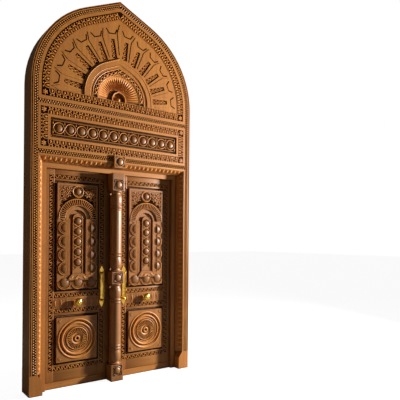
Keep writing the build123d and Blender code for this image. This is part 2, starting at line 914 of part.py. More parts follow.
with BuildPart() as bottom_rail:
    block(rail_x, leaf_y, (leaf_foot, lower_foot))
    block(rail_x, groove_y, (lower_foot - groove_reach, lower_foot), Mode.SUBTRACT)
    rope(rail_x, (rope_foot, lower_foot - rail_rope_offset))
write_pair(bottom_rail.part, "bottom_rail")

arcade_centre = (lower_top + upper_foot) / 2
with BuildPart() as lock_rail:
    block(rail_x, leaf_y, (lower_top, upper_foot))
    block(rail_x, groove_y, (lower_top, lower_top + groove_reach), Mode.SUBTRACT)
    block(rail_x, groove_y, (upper_foot - groove_reach, upper_foot), Mode.SUBTRACT)
    lower_rope = lower_top + rail_rope_offset + lock_rope_shift
    rope(rail_x, (lower_rope, lower_rope + rope_width))
    rope(rail_x, (upper_foot - rail_rope_offset - rope_width, upper_foot - rail_rope_offset))
    with BuildSketch(face_plane(leaf_front_y, leaf_centre_x, arcade_centre)):
        with GridLocations(arcade_pitch, 1, arcade_count, 1):
            high = arcade_height / 2
            wide = arcade_width / 2
            Polygon(
                (-wide, wide - high), (-wide / 2, -high), (wide / 2, -high), (wide, wide - high),
                (wide, high - wide), (wide / 2, high), (-wide / 2, high), (-wide, high - wide),
                align=None,
            )
        RegularPolygon(rose_radius + rose_gap, 8, mode=Mode.SUBTRACT)
    extrude(amount=-arcade_depth, mode=Mode.SUBTRACT)
write_pair(lock_rail.part, "lock_rail")


def raised_plate(low, high):
    """Panel held in the stiles' and rails' grooves, with a raised field standing proud of the leaf."""
    tongue_half = recess_half + plate_tongue
    block(
        (leaf_centre_x - tongue_half, leaf_centre_x + tongue_half),
        (plate_front_y, plate_front_y + plate_thickness), (low - plate_tongue, high + plate_tongue),
    )
    wide = recess_half - field_margin
    block(
        (leaf_centre_x - wide, leaf_centre_x + wide), (field_front_y, plate_front_y),
        (low + field_margin, high - field_margin),
    )


with BuildPart() as upper_panel:
    raised_plate(upper_foot, upper_top)
    field_wide = recess_half - field_margin
    with BuildSketch(face_plane(field_front_y, leaf_centre_x)):
        with Locations((0, (arch_height + upper_top - field_margin - spandrel_inset) / 2)):
            Rectangle(
                2 * (field_wide - spandrel_inset),
                upper_top - field_margin - spandrel_inset - arch_height,
            )
        with Locations((0, arch_height)):
            RegularPolygon(arch_outer, 28, mode=Mode.SUBTRACT)
    extrude(amount=-spandrel_depth, mode=Mode.SUBTRACT)
    rosette = dome(rosette_boss, rosette_rise)
    add(rosette.moved(Location((leaf_centre_x, field_front_y + spandrel_depth, rosette_height))))
    with BuildSketch(face_plane(field_front_y, leaf_centre_x)):
        with Locations((0, arch_height)):
            RegularPolygon(arch_inner, 20)
        with Locations((0, (arch_height + niche_foot) / 2)):
            Rectangle(2 * arch_inner, arch_height - niche_foot)
    extrude(amount=-ground_depth, mode=Mode.SUBTRACT)
    with BuildSketch(face_plane(field_front_y, leaf_centre_x)):
        with Locations((0, arch_height)):
            RegularPolygon(niche_radius, 16)
        with Locations((0, (arch_height + niche_foot) / 2)):
            Rectangle(2 * niche_half, arch_height - niche_foot)
    extrude(amount=-niche_depth, mode=Mode.SUBTRACT)
    for side in (-1, 1):
        fin_centre = leaf_centre_x + side * (niche_half + fin_width / 2)
        block(
            (fin_centre - fin_width / 2, fin_centre + fin_width / 2),
            (field_front_y, field_front_y + ground_depth), (niche_foot, arch_height),
        )
    niche_floor_y = field_front_y + niche_depth
    with BuildSketch(face_plane(niche_floor_y, leaf_centre_x)):
        with Locations((0, arch_height)):
            RegularPolygon(column_half, 12)
        with Locations((0, (arch_height + niche_foot) / 2)):
            Rectangle(2 * column_half, arch_height - niche_foot)
    extrude(amount=column_rise)
    column_y = niche_floor_y - column_rise
    column_boss_top = arch_height - column_boss_drop
    with BuildSketch(face_plane(column_y, leaf_centre_x)):
        for index in range(column_boss_count):
            middle = column_boss_top - (index + 0.5) * column_boss_pitch
            edge = column_half - column_notch_edge
            for side in (-1, 1):
                Polygon(
                    (side * edge, middle + column_notch_half),
                    (side * edge, middle - column_notch_half),
                    (side * column_notch_tip, middle), align=None,
                )
    extrude(amount=-notch_depth, mode=Mode.SUBTRACT)
    column_boss = dome(column_boss_radius, panel_boss_rise)
    for index in range(column_boss_count):
        middle = column_boss_top - index * column_boss_pitch
        add(column_boss.moved(Location((leaf_centre_x, column_y, middle))))
    with BuildSketch(face_plane(niche_floor_y, leaf_centre_x)):
        Polygon(
            (-corbel_half_foot, niche_foot - corbel_drop), (corbel_half_foot, niche_foot - corbel_drop),
            (corbel_half_top, corbel_top), (-corbel_half_top, corbel_top), align=None,
        )
    extrude(amount=niche_depth + corbel_rise)
    for index in range(side_boss_count):
        middle = side_boss_first + index * side_boss_pitch
        for side in (-1, 1):
            tip = side * (arch_inner + side_notch_tip)
            rim = side * (field_wide - side_notch_edge)
            with BuildSketch(face_plane(field_front_y, leaf_centre_x)):
                Polygon(
                    (tip, middle + side_boss_pitch / 2), (rim, middle + side_notch_end),
                    (rim, middle + side_boss_pitch - side_notch_end), align=None,
                )
            extrude(amount=-notch_depth, mode=Mode.SUBTRACT)
    side_boss = dome(side_boss_radius, side_boss_rise)
    left_half = split(side_boss, bisect_by=Plane.YZ, keep=Keep.BOTTOM, mode=Mode.PRIVATE)
    right_half = split(side_boss, bisect_by=Plane.YZ, keep=Keep.TOP, mode=Mode.PRIVATE)
    for index in range(side_boss_count):
        middle = side_boss_first + index * side_boss_pitch
        add(left_half.moved(Location((leaf_centre_x - arch_inner, field_front_y, middle))))
        add(right_half.moved(Location((leaf_centre_x + arch_inner, field_front_y, middle))))
    foot_boss = dome(foot_boss_radius, panel_boss_rise)
    for index in (-1, 0, 1):
        foot_x = leaf_centre_x + index * foot_boss_pitch
        add(foot_boss.moved(Location((foot_x, field_front_y, foot_boss_height))))
    with BuildPart(mode=Mode.PRIVATE) as arch_flute:
        with BuildSketch(Plane.YZ):
            Polygon(
                (-arch_flute_width / 2, flute_overshoot), (arch_flute_width / 2, flute_overshoot),
                (0, -arch_flute_depth), align=None,
            )
        extrude(amount=arch_flute_outer - arch_inner - arch_flute_end)
    for index in range(arch_flutes):
        angle = (index + 0.5) * 180 / arch_flutes
        at = Location((leaf_centre_x, field_front_y, arch_height), (90, 0, 0))
        spin = Location((0, 0, 0), (0, 0, angle))
        out = Location((arch_inner + arch_flute_end, 0, 0))
        add(arch_flute.part.moved(at * spin * out), mode=Mode.SUBTRACT)
write_pair(upper_panel.part, "upper_panel")

roundel_height = (lower_foot + lower_top) / 2
roundel_cuts = (
    (roundel_radius, roundel_rim, roundel_depth), (roundel_hollow, roundel_bead, roundel_bead_depth),
    (roundel_face, roundel_eye, roundel_face_depth), (roundel_eye, roundel_hub, roundel_depth),
)
with BuildPart(mode=Mode.PRIVATE) as roundel_flute:
    with BuildSketch(Plane.YZ.offset(roundel_eye + roundel_flute_margin)):
        Polygon(
            (-roundel_flute_half, flute_overshoot), (roundel_flute_half, flute_overshoot),
            (0, -roundel_flute_depth), align=None,
        )
    extrude(amount=roundel_face - roundel_eye - 2 * roundel_flute_margin)

with BuildPart() as lower_panel:
    raised_plate(lower_foot, lower_top)
    field = face_plane(field_front_y, leaf_centre_x, roundel_height)
    for outer, inner, depth in roundel_cuts:
        extrude(ring_face(field, outer, inner, 16), amount=-depth, mode=Mode.SUBTRACT)
    extrude(many_sided(field, roundel_hole, 8), amount=-roundel_depth, mode=Mode.SUBTRACT)
    face_y = field_front_y + roundel_face_depth
    for index in range(roundel_flutes):
        at = Location((leaf_centre_x, face_y, roundel_height), (90, 0, 0))
        turn = Location((0, 0, 0), (0, 0, index * 360 / roundel_flutes))
        add(roundel_flute.part.moved(at * turn), mode=Mode.SUBTRACT)
write_pair(lower_panel.part, "lower_panel")

# Brass knob on its rose, at the middle of the lock rail

with BuildPart() as rose:
    extrude(
        many_sided(face_plane(leaf_front_y, leaf_centre_x, knob_height), rose_radius, 16),
        amount=rose_thickness,
    )
    chamfer(rose.faces().sort_by(Axis.Y)[0].edges(), rose_chamfer)
write_pair(rose.part, "knob_rose")

with BuildPart() as knob:
    stem_plane = face_plane(leaf_front_y - rose_thickness, leaf_centre_x, knob_height)
    extrude(many_sided(stem_plane, knob_stem_radius, 8), amount=knob_stand - knob_head - rose_thickness)
    head_plane = face_plane(leaf_front_y - knob_stand + knob_head, leaf_centre_x, knob_height)
    with BuildPart(mode=Mode.PRIVATE) as head:
        extrude(many_sided(head_plane, knob_radius, 12), amount=knob_head)
        under = head.faces().sort_by(Axis.Y)[-1]
        chamfer(under.edges(), length=knob_under_run, length2=knob_under_rise, reference=under)
        over = head.faces().sort_by(Axis.Y)[0]
        chamfer(over.edges(), length=knob_over_run, length2=knob_over_rise, reference=over)
    add(head.part)
    knob_face = face_plane(leaf_front_y - knob_stand, leaf_centre_x, knob_height)
    knob_ring = ring_face(knob_face, knob_ring_outer, knob_ring_inner, 12)
    extrude(knob_ring, amount=-knob_ring_depth, mode=Mode.SUBTRACT)
write_pair(knob.part, "knob")

# Brass pull handle on the meeting stile

handle_top = handle_foot + handle_length
handle_x = -handle_offset
with BuildPart() as handle_plate:
    with BuildSketch(face_plane(leaf_front_y, handle_x)):
        edge = (
            (handle_tip_width / 2, handle_tip), (handle_plate_width / 2, handle_lobe_start),
            (handle_plate_width / 2, handle_lobe_end), (handle_waist_width / 2, handle_waist),
        )
        lower_edge = [(x, handle_foot + z) for x, z in edge]
        upper_edge = [(x, handle_top - z) for x, z in reversed(edge)]
        right_edge = lower_edge + upper_edge
        left_edge = [(-x, z) for x, z in reversed(right_edge)]
        Polygon((0, handle_foot), *right_edge, (0, handle_top), *left_edge, align=None)
    extrude(amount=handle_plate_thickness, taper=handle_plate_taper)
write_pair(handle_plate.part, "handle_plate")

grip_heights = (handle_foot + grip_mount_inset, handle_top - grip_mount_inset)
plate_face_y = leaf_front_y - handle_plate_thickness
grip_y = plate_face_y - grip_stand
with BuildPart() as grip:
    grip_low = grip_heights[0] - grip_tail
    grip_high = grip_heights[1] + grip_tail
    bar = spindle(grip_radius, grip_high - grip_low, grip_ease, 8)
    add(bar.moved(Location((handle_x, grip_y, grip_low))))
    for height in grip_heights:
        mount_plane = face_plane(plate_face_y, handle_x, height)
        extrude(many_sided(mount_plane, grip_mount_radius, 8), amount=grip_mount_thickness)
        extrude(many_sided(mount_plane, grip_arm_radius, 8), amount=grip_stand + grip_radius)
        collar = spindle(grip_collar_radius, grip_collar, 0, 8)
        add(collar.moved(Location((handle_x, grip_y, height - grip_collar / 2))))
write_pair(grip.part, "handle_grip")

# Lift-off hinges: the frame half carries the pin, the leaf half drops over it

knuckle = (hinge_length - hinge_knuckle_gap) / 2


def pin_face(radius, height):
    """Twelve-sided face round the pin line at a height, measured to its corners."""
    with BuildSketch(Plane.XY.offset(height)) as face:
        with Locations((pin_x, pin_y)):
            RegularPolygon(radius, pin_sides)
    return face.sketch


plate_clear_y = pin_y - hinge_knuckle_radius - hinge_plate_gap
plate_far_y = pin_y - hinge_pin_offset - hinge_leaf_width
with BuildPart() as hinge_frame:
    for height in hinge_heights:
        low = height - hinge_length / 2
        high = height + hinge_length / 2
        plate_x = (-rebate_half - hinge_let_in, -rebate_half - hinge_let_in + hinge_leaf_thickness)
        block(plate_x, (plate_far_y, plate_clear_y), (low, high))
        block(plate_x, (plate_clear_y, pin_y), (low, low + knuckle))
        barrel = spindle(hinge_knuckle_radius, knuckle, 0, 8)
        add(barrel.moved(Location((pin_x, pin_y, low))))
        extrude(pin_face(hinge_pin_radius, low + knuckle - pin_root), amount=knuckle - hinge_cap)
write_pair(hinge_frame.part, "hinge_frame_plates")

with BuildPart() as hinge_leaf:
    for height in hinge_heights:
        low = height - hinge_length / 2
        high = height + hinge_length / 2
        plate_x = (-leaf_outer_x + hinge_let_in - hinge_leaf_thickness, -leaf_outer_x + hinge_let_in)
        block(plate_x, (plate_far_y, plate_clear_y), (low, high))
        block(plate_x, (plate_clear_y, pin_y), (high - knuckle, high))
        barrel = spindle(hinge_knuckle_radius, knuckle, 0, 8)
        add(barrel.moved(Location((pin_x, pin_y, high - knuckle))))
        bore = (hinge_pin_radius + hinge_pin_clearance) / math.cos(math.pi / pin_sides)
        extrude(pin_face(bore, high - knuckle), amount=knuckle - hinge_cap, mode=Mode.SUBTRACT)
write_pair(hinge_leaf.part, "hinge_leaf_plates")
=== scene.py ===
import math

import bmesh
import bpy
from bpy.props import FloatProperty, FloatVectorProperty, IntProperty, PointerProperty
from mathutils import Matrix, Vector


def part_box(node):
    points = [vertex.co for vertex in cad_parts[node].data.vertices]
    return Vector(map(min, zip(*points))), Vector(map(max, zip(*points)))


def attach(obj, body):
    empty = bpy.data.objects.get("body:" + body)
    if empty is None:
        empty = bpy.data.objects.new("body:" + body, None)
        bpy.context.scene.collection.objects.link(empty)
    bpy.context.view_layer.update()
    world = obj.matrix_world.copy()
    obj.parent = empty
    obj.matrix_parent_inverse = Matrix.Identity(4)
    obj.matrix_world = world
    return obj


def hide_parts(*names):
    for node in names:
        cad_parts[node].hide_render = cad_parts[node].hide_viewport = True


bl_info = {
    "name": "Carved double door",
    "version": (1, 0, 0),
    "blender": (4, 5, 0),
    "location": "View3D > Sidebar > Carved door",
    "description": "Carving, turned work, brass and wood finishes for a carved double door",
    "category": "Object",
}

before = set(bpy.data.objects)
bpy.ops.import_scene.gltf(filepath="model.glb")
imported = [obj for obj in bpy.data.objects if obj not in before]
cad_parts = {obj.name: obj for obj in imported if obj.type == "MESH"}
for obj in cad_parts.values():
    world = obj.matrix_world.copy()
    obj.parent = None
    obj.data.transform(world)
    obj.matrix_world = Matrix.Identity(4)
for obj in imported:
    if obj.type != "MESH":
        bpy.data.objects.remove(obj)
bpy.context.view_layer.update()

# Meshes are drawn in millimetres and brought to metres when a piece is finished
MM = 0.001
# How far each dark sheet of painted shade in a hollow stands in front of the hollow's floor
GROUND_LIFT = 0.3


def near(node):
    """Lowest corner of a node in millimetres."""
    return Vector(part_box(node)[0]) / MM


def far(node):
    """Highest corner of a node in millimetres."""
    return Vector(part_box(node)[1]) / MM


LEAVES = (("left", -1), ("right", 1))

# The frame and its pointed head: limits taken from the nodes, and floors of the carved fields
FRONT = near("over_panel_rail_upper").y
HALF_WIDTH = -near("jamb_left").x
PANEL_HALF = far("transom").x
SPRING = far("jamb_left").z
APEX = far("arch_left").z
SLOPE = math.asin(HALF_WIDTH / (APEX - SPRING))
OVER_LOW = near("over_panel_rail_lower").z
OVER_HIGH = far("over_panel_rail_upper").z
OVER_CENTRE = (OVER_LOW + OVER_HIGH) / 2
TRANSOM_LOW = near("transom").z
SILL_FOOT = far("transom").z
CHECKER_FLOOR = FRONT + 3
BORDER_FLOOR = FRONT + 5
BOSS_FLOOR = FRONT + 11
OVER_MARGIN_FLOOR = FRONT + 25

# The splay round the doorway, and the post's square blocks as (foot, top, middle of the sunk square)
REVEAL_HALF = 783
SPLAY_HALF = 832
SPLAY_DEPTH = 67
SPLAY_WIDTH = SPLAY_HALF - REVEAL_HALF
REVEAL_HEIGHT = near("keystone").z
POST_BLOCKS = ((0, 170, 108), (1024, 1152, 1088), (2008, far("centre_post").z, 2072))
SQUARE_DEPTH = 7
BOSS_RADIUS = 38

# The fan and its shell
FAN_CENTRE = 2968
FAN_FRONT = FRONT + 4
SLOT_FLOOR = FAN_FRONT + 18
SLOTS = 12
SHELL_FRONT = FAN_FRONT + 3
SHELL_FOOT = SILL_FOOT + 111

# The leaves: the scrolls' channels and the panels' carving
LEAF_FRONT = near("top_rail_left").y
SCROLL_FLOOR = LEAF_FRONT + 4
SCROLL_LOW = 175.4
SCROLL_HIGH = 2137.5
SCROLL_HALF = 20
HINGE_RUN = 671
MEETING_RUN = 129
RAIL_RUNS = {"bottom_rail": (195.4,), "lock_rail": (771.6, 926.6), "top_rail": (2117.5,)}
ARCADE_HEIGHT = 846.1
PANEL_MARGIN_FLOOR = LEAF_FRONT + 16
FIELD_FRONT = near("lower_panel_left").y
PANEL_CENTRE = (near("lower_panel_right").x + far("lower_panel_right").x) / 2
ROUNDEL_HEIGHT = (near("lower_panel_left").z + far("lower_panel_left").z) / 2
ARCH_HEIGHT = 1700
COLUMN_FLOOR = FIELD_FRONT + 4
COLUMN_HEIGHTS = [ARCH_HEIGHT - 24 - index * 104.6 for index in range(5)]
CORBEL_FRONT = FIELD_FRONT - 14
SCALLOP_HEIGHTS = [1197 + index * 137 for index in range(4)]
SPANDREL_FLOOR = FIELD_FRONT + 8


# Sizes and colours that a user would change

class WoodSettings(bpy.types.PropertyGroup):
    # The light colour is the lighter grain of all the wood; the raised carving is painted brighter still, a
    # painted highlight
    light: FloatVectorProperty(
        name="Light wood", description="Colour of the raised, worn wood", subtype="COLOR",
        default=(0.41, 0.163, 0.032), size=3, min=0, max=1,
    )
    dark: FloatVectorProperty(
        name="Dark wood", description="Colour of the wood's darker grain", subtype="COLOR",
        default=(0.27, 0.088, 0.015), size=3, min=0, max=1,
    )
    # The recess colour is painted shade, laid into the hollows by an ambient-occlusion mask, not a stain of
    # the wood
    recess: FloatVectorProperty(
        name="Recess", description="Colour of the stain that stays in recesses", subtype="COLOR",
        default=(0.032, 0.006, 0.003), size=3, min=0, max=1,
    )
    grain_scale: FloatProperty(
        name="Grain scale", description="How many grain lines fit in a metre", default=34, min=1, max=200,
    )


class CarvingSettings(bpy.types.PropertyGroup):
    leaf_pitch: FloatProperty(
        name="Leaf pitch", description="Distance between carved leaves along a border",
        default=0.0608, min=0.02, max=0.2, unit="LENGTH",
    )
    checker_pitch: FloatProperty(
        name="Checker pitch", description="Distance between diamonds along the checker border",
        default=0.0245, min=0.01, max=0.1, unit="LENGTH",
    )
    tongue_pitch: FloatProperty(
        name="Tongue pitch", description="Distance between the carved tongues round the doorway",
        default=0.052, min=0.02, max=0.2, unit="LENGTH",
    )
    scroll_pitch: FloatProperty(
        name="Scroll pitch", description="Distance between scrolls along the leaves' ropes",
        default=0.0518, min=0.02, max=0.2, unit="LENGTH",
    )
    turned_steps: IntProperty(
        name="Turned steps", description="Steps round the post, knobs and roundels",
        default=48, min=12, max=96,
    )


class BrassSettings(bpy.types.PropertyGroup):
    colour: FloatVectorProperty(
        name="Brass", description="Colour of the polished brass", subtype="COLOR",
        default=(0.90, 0.54, 0.09), size=3, min=0, max=1,
    )
    tarnish: FloatVectorProperty(
        name="Tarnish", description="Colour of the brass where it has dulled", subtype="COLOR",
        default=(0.60, 0.34, 0.05), size=3, min=0, max=1,
    )


# Node helpers

def link(tree, source, target):
    """Joins two sockets of a tree."""
    tree.links.new(source, target)


def add_node(tree, kind, x=0, y=0, **settings):
    """New node of a kind at a place in the tree, with its settings."""
    node = tree.nodes.new(kind)
    node.location = (x, y)
    for name, value in settings.items():
        setattr(node, name, value)
    return node


def new_group(name, inputs, outputs):
    """Empty shader node group with named sockets, given as (name, type, default)."""
    group = bpy.data.node_groups.new(name, "ShaderNodeTree")
    for title, kind, default in inputs:
        socket = group.interface.new_socket(name=title, in_out="INPUT", socket_type=kind)
        if default is not None:
            socket.default_value = default
    for title, kind in outputs:
        group.interface.new_socket(name=title, in_out="OUTPUT", socket_type=kind)
    add_node(group, "NodeGroupInput", -1200, 0)
    add_node(group, "NodeGroupOutput", 900, 0)
    return group


def mix_colour(tree, factor, first, second, x, y):
    """Mix node for two colours; each argument is a socket or a value."""
    node = add_node(tree, "ShaderNodeMix", x, y, data_type="RGBA")
    for index, value in ((0, factor), (6, first), (7, second)):
        if isinstance(value, bpy.types.NodeSocket):
            link(tree, value, node.inputs[index])
        elif index == 0:
            node.inputs[index].default_value = value
        else:
            node.inputs[index].default_value = (*value[:3], 1)
    return node.outputs[2]


def math_node(tree, operation, values, x, y, clamp=False):
    """Math node of sockets or values."""
    node = add_node(tree, "ShaderNodeMath", x, y, operation=operation, use_clamp=clamp)
    for index, value in enumerate(values):
        if isinstance(value, bpy.types.NodeSocket):
            link(tree, value, node.inputs[index])
        else:
            node.inputs[index].default_value = value
    return node.outputs[0]


def remap(tree, value, span, target, x, y):
    """Map Range node from one span to another."""
    node = add_node(tree, "ShaderNodeMapRange", x, y)
    node.inputs["From Min"].default_value, node.inputs["From Max"].default_value = span
    node.inputs["To Min"].default_value, node.inputs["To Max"].default_value = target
    link(tree, value, node.inputs["Value"])
    return node.outputs[0]


def noise(tree, vector, scale, detail, x, y, roughness=0.5):
    """Noise texture; the scale is a socket or a value."""
    node = add_node(tree, "ShaderNodeTexNoise", x, y)
    node.inputs["Detail"].default_value = detail
    node.inputs["Roughness"].default_value = roughness
    if isinstance(scale, bpy.types.NodeSocket):
        link(tree, scale, node.inputs["Scale"])
    else:
        node.inputs["Scale"].default_value = scale
    link(tree, vector, node.inputs["Vector"])
    return node


def wood_grain_group():
    """Straight grain with slow colour bands, fine pores and a matching height."""
    group = new_group(
        "Wood grain",
        (
            ("Vector", "NodeSocketVector", None), ("Light", "NodeSocketColor", (0.6, 0.3, 0.1, 1)),
            ("Dark", "NodeSocketColor", (0.3, 0.1, 0.03, 1)), ("Scale", "NodeSocketFloat", 30.0),
        ),
        (("Color", "NodeSocketColor"), ("Roughness", "NodeSocketFloat"), ("Height", "NodeSocketFloat")),
    )
    into = group.nodes["Group Input"].outputs
    out = group.nodes["Group Output"].inputs
    stretch = add_node(group, "ShaderNodeMapping", -1000, 0)
    stretch.inputs["Scale"].default_value = (1, 1, 0.07)
    link(group, into["Vector"], stretch.inputs["Vector"])
    warp = noise(group, stretch.outputs[0], 5, 2, -800, -220)
    spread = add_node(group, "ShaderNodeVectorMath", -600, -100, operation="MULTIPLY_ADD")
    link(group, warp.outputs["Color"], spread.inputs[0])
    spread.inputs[1].default_value = (0.10, 0.10, 0.10)
    link(group, stretch.outputs[0], spread.inputs[2])
    fine = noise(group, spread.outputs[0], into["Scale"], 6, -400, 120, 0.65)
    pore_scale = math_node(group, "MULTIPLY", (into["Scale"], 9.0), -600, -420)
    pores = noise(group, spread.outputs[0], pore_scale, 3, -400, -320)
    band = noise(group, into["Vector"], 3.2, 2, -400, -560)
    grain = remap(group, fine.outputs["Fac"], (0.36, 0.70), (0, 0.85), -180, 120)
    streaks = mix_colour(group, grain, into["Light"], into["Dark"], 60, 200)
    pore = remap(group, pores.outputs["Fac"], (0.56, 0.74), (0, 0.40), -180, -320)
    pored = mix_colour(group, pore, streaks, into["Dark"], 260, 120)
    slow = remap(group, band.outputs["Fac"], (0.35, 0.70), (0, 0.35), -180, -560)
    banded = mix_colour(group, slow, pored, into["Dark"], 460, 60)
    link(group, banded, out["Color"])
    link(group, math_node(group, "MULTIPLY_ADD", (grain, 0.14, 0.42), 460, -200), out["Roughness"])
    link(group, math_node(group, "MULTIPLY", (pore, -1.0), 460, -400), out["Height"])


def painted_shade_group():
    """Painted shade that darkens the hollows where ambient occlusion finds them, broken up by blotches."""
    group = new_group(
        "Recess painted shade",
        (
            ("Color", "NodeSocketColor", (1, 1, 1, 1)), ("Painted shade colour", "NodeSocketColor", (0, 0, 0, 1)),
            ("Vector", "NodeSocketVector", None), ("Reach", "NodeSocketFloat", 0.02),
            ("Strength", "NodeSocketFloat", 0.9),
        ),
        (("Color", "NodeSocketColor"), ("Mask", "NodeSocketFloat")),
    )
    into = group.nodes["Group Input"].outputs
    out = group.nodes["Group Output"].inputs
    # Painted shade: ambient occlusion finds the hollows and creases, and the colour is darkened there
    open_sky = add_node(group, "ShaderNodeAmbientOcclusion", -900, 0, samples=6)
    link(group, into["Reach"], open_sky.inputs["Distance"])
    blotch = noise(group, into["Vector"], 55, 3, -900, -300)
    hollow = remap(group, open_sky.outputs["AO"], (0.86, 0.34), (0, 1), -700, 0)
    uneven = math_node(group, "MULTIPLY_ADD", (blotch.outputs["Fac"], 0.8, 0.6), -700, -300)
    mask = math_node(group, "MULTIPLY", (hollow, uneven), -500, -100, clamp=True)
    full = math_node(group, "MULTIPLY", (mask, into["Strength"]), -300, -100, clamp=True)
    painted_shaded = mix_colour(group, full, into["Color"], into["Painted shade colour"], 200, 0)
    link(group, painted_shaded, out["Color"])
    link(group, full, out["Mask"])


def place_group(tree, name, x, y):
    """Node that holds one of the door's node groups."""
    return add_node(tree, "ShaderNodeGroup", x, y, node_tree=bpy.data.node_groups[name])


def new_material(name):
    """Material with only a Principled shader; returns its tree and the shader."""
    material = bpy.data.materials.new(name)
    material.use_nodes = True
    tree = material.node_tree
    tree.nodes.clear()
    out = add_node(tree, "ShaderNodeOutputMaterial", 600, 0)
    shader = add_node(tree, "ShaderNodeBsdfPrincipled", 300, 0)
    link(tree, shader.outputs[0], out.inputs["Surface"])
    return tree, shader


def wood_material(name, wood, turn, reach, strength, shade=1.0, gloss=0.28):
    """Waxed wood with its grain turned, and painted shade in its hollows from ambient occlusion."""
    tree, shader = new_material(name)
    shader.inputs["Specular IOR Level"].default_value = gloss
    shader.inputs["Coat Weight"].default_value = 0.4 * max(0, gloss - 0.2)
    shader.inputs["Coat Roughness"].default_value = 0.3
    coords = add_node(tree, "ShaderNodeTexCoord", -1500, 0)
    mapping = add_node(tree, "ShaderNodeMapping", -1300, 0)
    mapping.inputs["Rotation"].default_value = turn
    link(tree, coords.outputs["Object"], mapping.inputs["Vector"])
    grain = place_group(tree, "Wood grain", -900, 0)
    grain.inputs["Light"].default_value = (*[value * shade for value in wood.light], 1)
    grain.inputs["Dark"].default_value = (*[value * shade for value in wood.dark], 1)
    grain.inputs["Scale"].default_value = wood.grain_scale
    link(tree, mapping.outputs[0], grain.inputs["Vector"])
    # Painted shade in the hollows, from ambient occlusion
    painted_shade = place_group(tree, "Recess painted shade", -500, 100)
    painted_shade.inputs["Painted shade colour"].default_value = (*wood.recess, 1)
    painted_shade.inputs["Reach"].default_value = reach
    painted_shade.inputs["Strength"].default_value = strength
    link(tree, coords.outputs["Object"], painted_shade.inputs["Vector"])
    link(tree, grain.outputs["Color"], painted_shade.inputs["Color"])
    link(tree, painted_shade.outputs["Color"], shader.inputs["Base Color"])
    link(tree, grain.outputs["Roughness"], shader.inputs["Roughness"])
    bump = add_node(tree, "ShaderNodeBump", 0, -300)
    bump.inputs["Strength"].default_value = 0.3
    bump.inputs["Distance"].default_value = 0.0006
    link(tree, grain.outputs["Height"], bump.inputs["Height"])
    link(tree, bump.outputs[0], shader.inputs["Normal"])


def brass_material(name, brass):
    """Polished brass with dulled patches."""
    tree, shader = new_material(name)
    shader.inputs["Metallic"].default_value = 1.0
    coords = add_node(tree, "ShaderNodeTexCoord", -900, 0)
    patches = noise(tree, coords.outputs["Object"], 38, 5, -700, 0)
    dull = remap(tree, patches.outputs["Fac"], (0.45, 0.80), (0, 1), -450, 0)
    colour = mix_colour(tree, dull, brass.colour, brass.tarnish, -200, 100)
    link(tree, colour, shader.inputs["Base Color"])
    rough = math_node(tree, "MULTIPLY_ADD", (dull, 0.10, 0.20), -200, -200)
    link(tree, rough, shader.inputs["Roughness"])


UPRIGHT = (0, 0, 0)
ACROSS = (0, math.pi / 2, 0)


def make_materials(context):
    """All finishes of the door, built once."""
    wood = context.scene.door_wood
    wood_grain_group()
    painted_shade_group()
    # After the grain come the reach and strength of the painted shade in the hollows, then the brightness
    # and gloss
    wood_material("Frame wood upright", wood, UPRIGHT, 0.016, 0.95)
    wood_material("Frame wood across", wood, ACROSS, 0.016, 0.95)
    wood_material("Leaf wood upright", wood, UPRIGHT, 0.022, 0.95, 0.76)
    wood_material("Leaf wood across", wood, ACROSS, 0.022, 0.95, 0.76)
    wood_material("Turned wood", wood, UPRIGHT, 0.014, 0.9, 0.68, 0.46)
    # Painted highlight: the raised carving is the same wood painted brighter, 1.45 and 1.2 times
    wood_material("Frame carving painted highlight", wood, UPRIGHT, 0.012, 0.3, 1.45)
    wood_material("Leaf carving painted highlight", wood, UPRIGHT, 0.012, 0.3, 1.2)
    # Painted shade: the domes and the ropes of the sunk margins are the same wood painted darker
    wood_material("Carved domes painted shade", wood, UPRIGHT, 0.014, 0.9, 0.50)
    # Painted shade: the dark sheets in the hollows are the same wood painted near black
    wood_material("Painted shade coloured ground", wood, UPRIGHT, 0.02, 0.9, 0.055, 0.0)
    brass_material("Polished brass", context.scene.door_brass)


def paint(piece, name):
    """Gives a piece one finish."""
    piece.data.materials.clear()
    piece.data.materials.append(bpy.data.materials[name])


# Mesh helpers

FACING = Matrix.Rotation(math.pi / 2, 4, "X")


def face(x, y, z, turn=0):
    """Place on a front face: a shape drawn flat, with Y up and Z as its rise, turned clockwise."""
    return Matrix.Translation((x, y, z)) @ Matrix.Rotation(turn, 4, "Y") @ FACING


def lying(origin, along, rise):
    """Place on any flat surface, with the shape's Y and Z directions given."""
    along, rise = Vector(along).normalized(), Vector(rise).normalized()
    turn = Matrix((along.cross(rise), along, rise)).transposed()
    return Matrix.Translation(origin) @ turn.to_4x4()


def stretched(wide, long, rise):
    """A stretch of a shape of radius one, across, along and in its rise."""
    return Matrix.Diagonal((wide, long, rise, 1))


def shifted(x, y, z=0, turn=0):
    """A shift within a face, then a turn anticlockwise on it, in degrees."""
    return Matrix.Translation((x, y, z)) @ Matrix.Rotation(math.radians(turn), 4, "Z")


def stamp(bm, mesh, place):
    """Adds a copy of a mesh in its place."""
    first = len(bm.verts)
    bm.from_mesh(mesh)
    bm.verts.ensure_lookup_table()
    bmesh.ops.transform(bm, matrix=place, verts=bm.verts[first:])


def join(bm, work, place=Matrix()):
    """Moves a finished bmesh into another one."""
    mesh = bpy.data.meshes.new("join")
    work.to_mesh(mesh)
    work.free()
    stamp(bm, mesh, place)
    bpy.data.meshes.remove(mesh)


def chain(bm, points):
    """Vertices and edges along a line of points."""
    verts = [bm.verts.new(point) for point in points]
    return verts + [bm.edges.new(pair) for pair in zip(verts, verts[1:])]


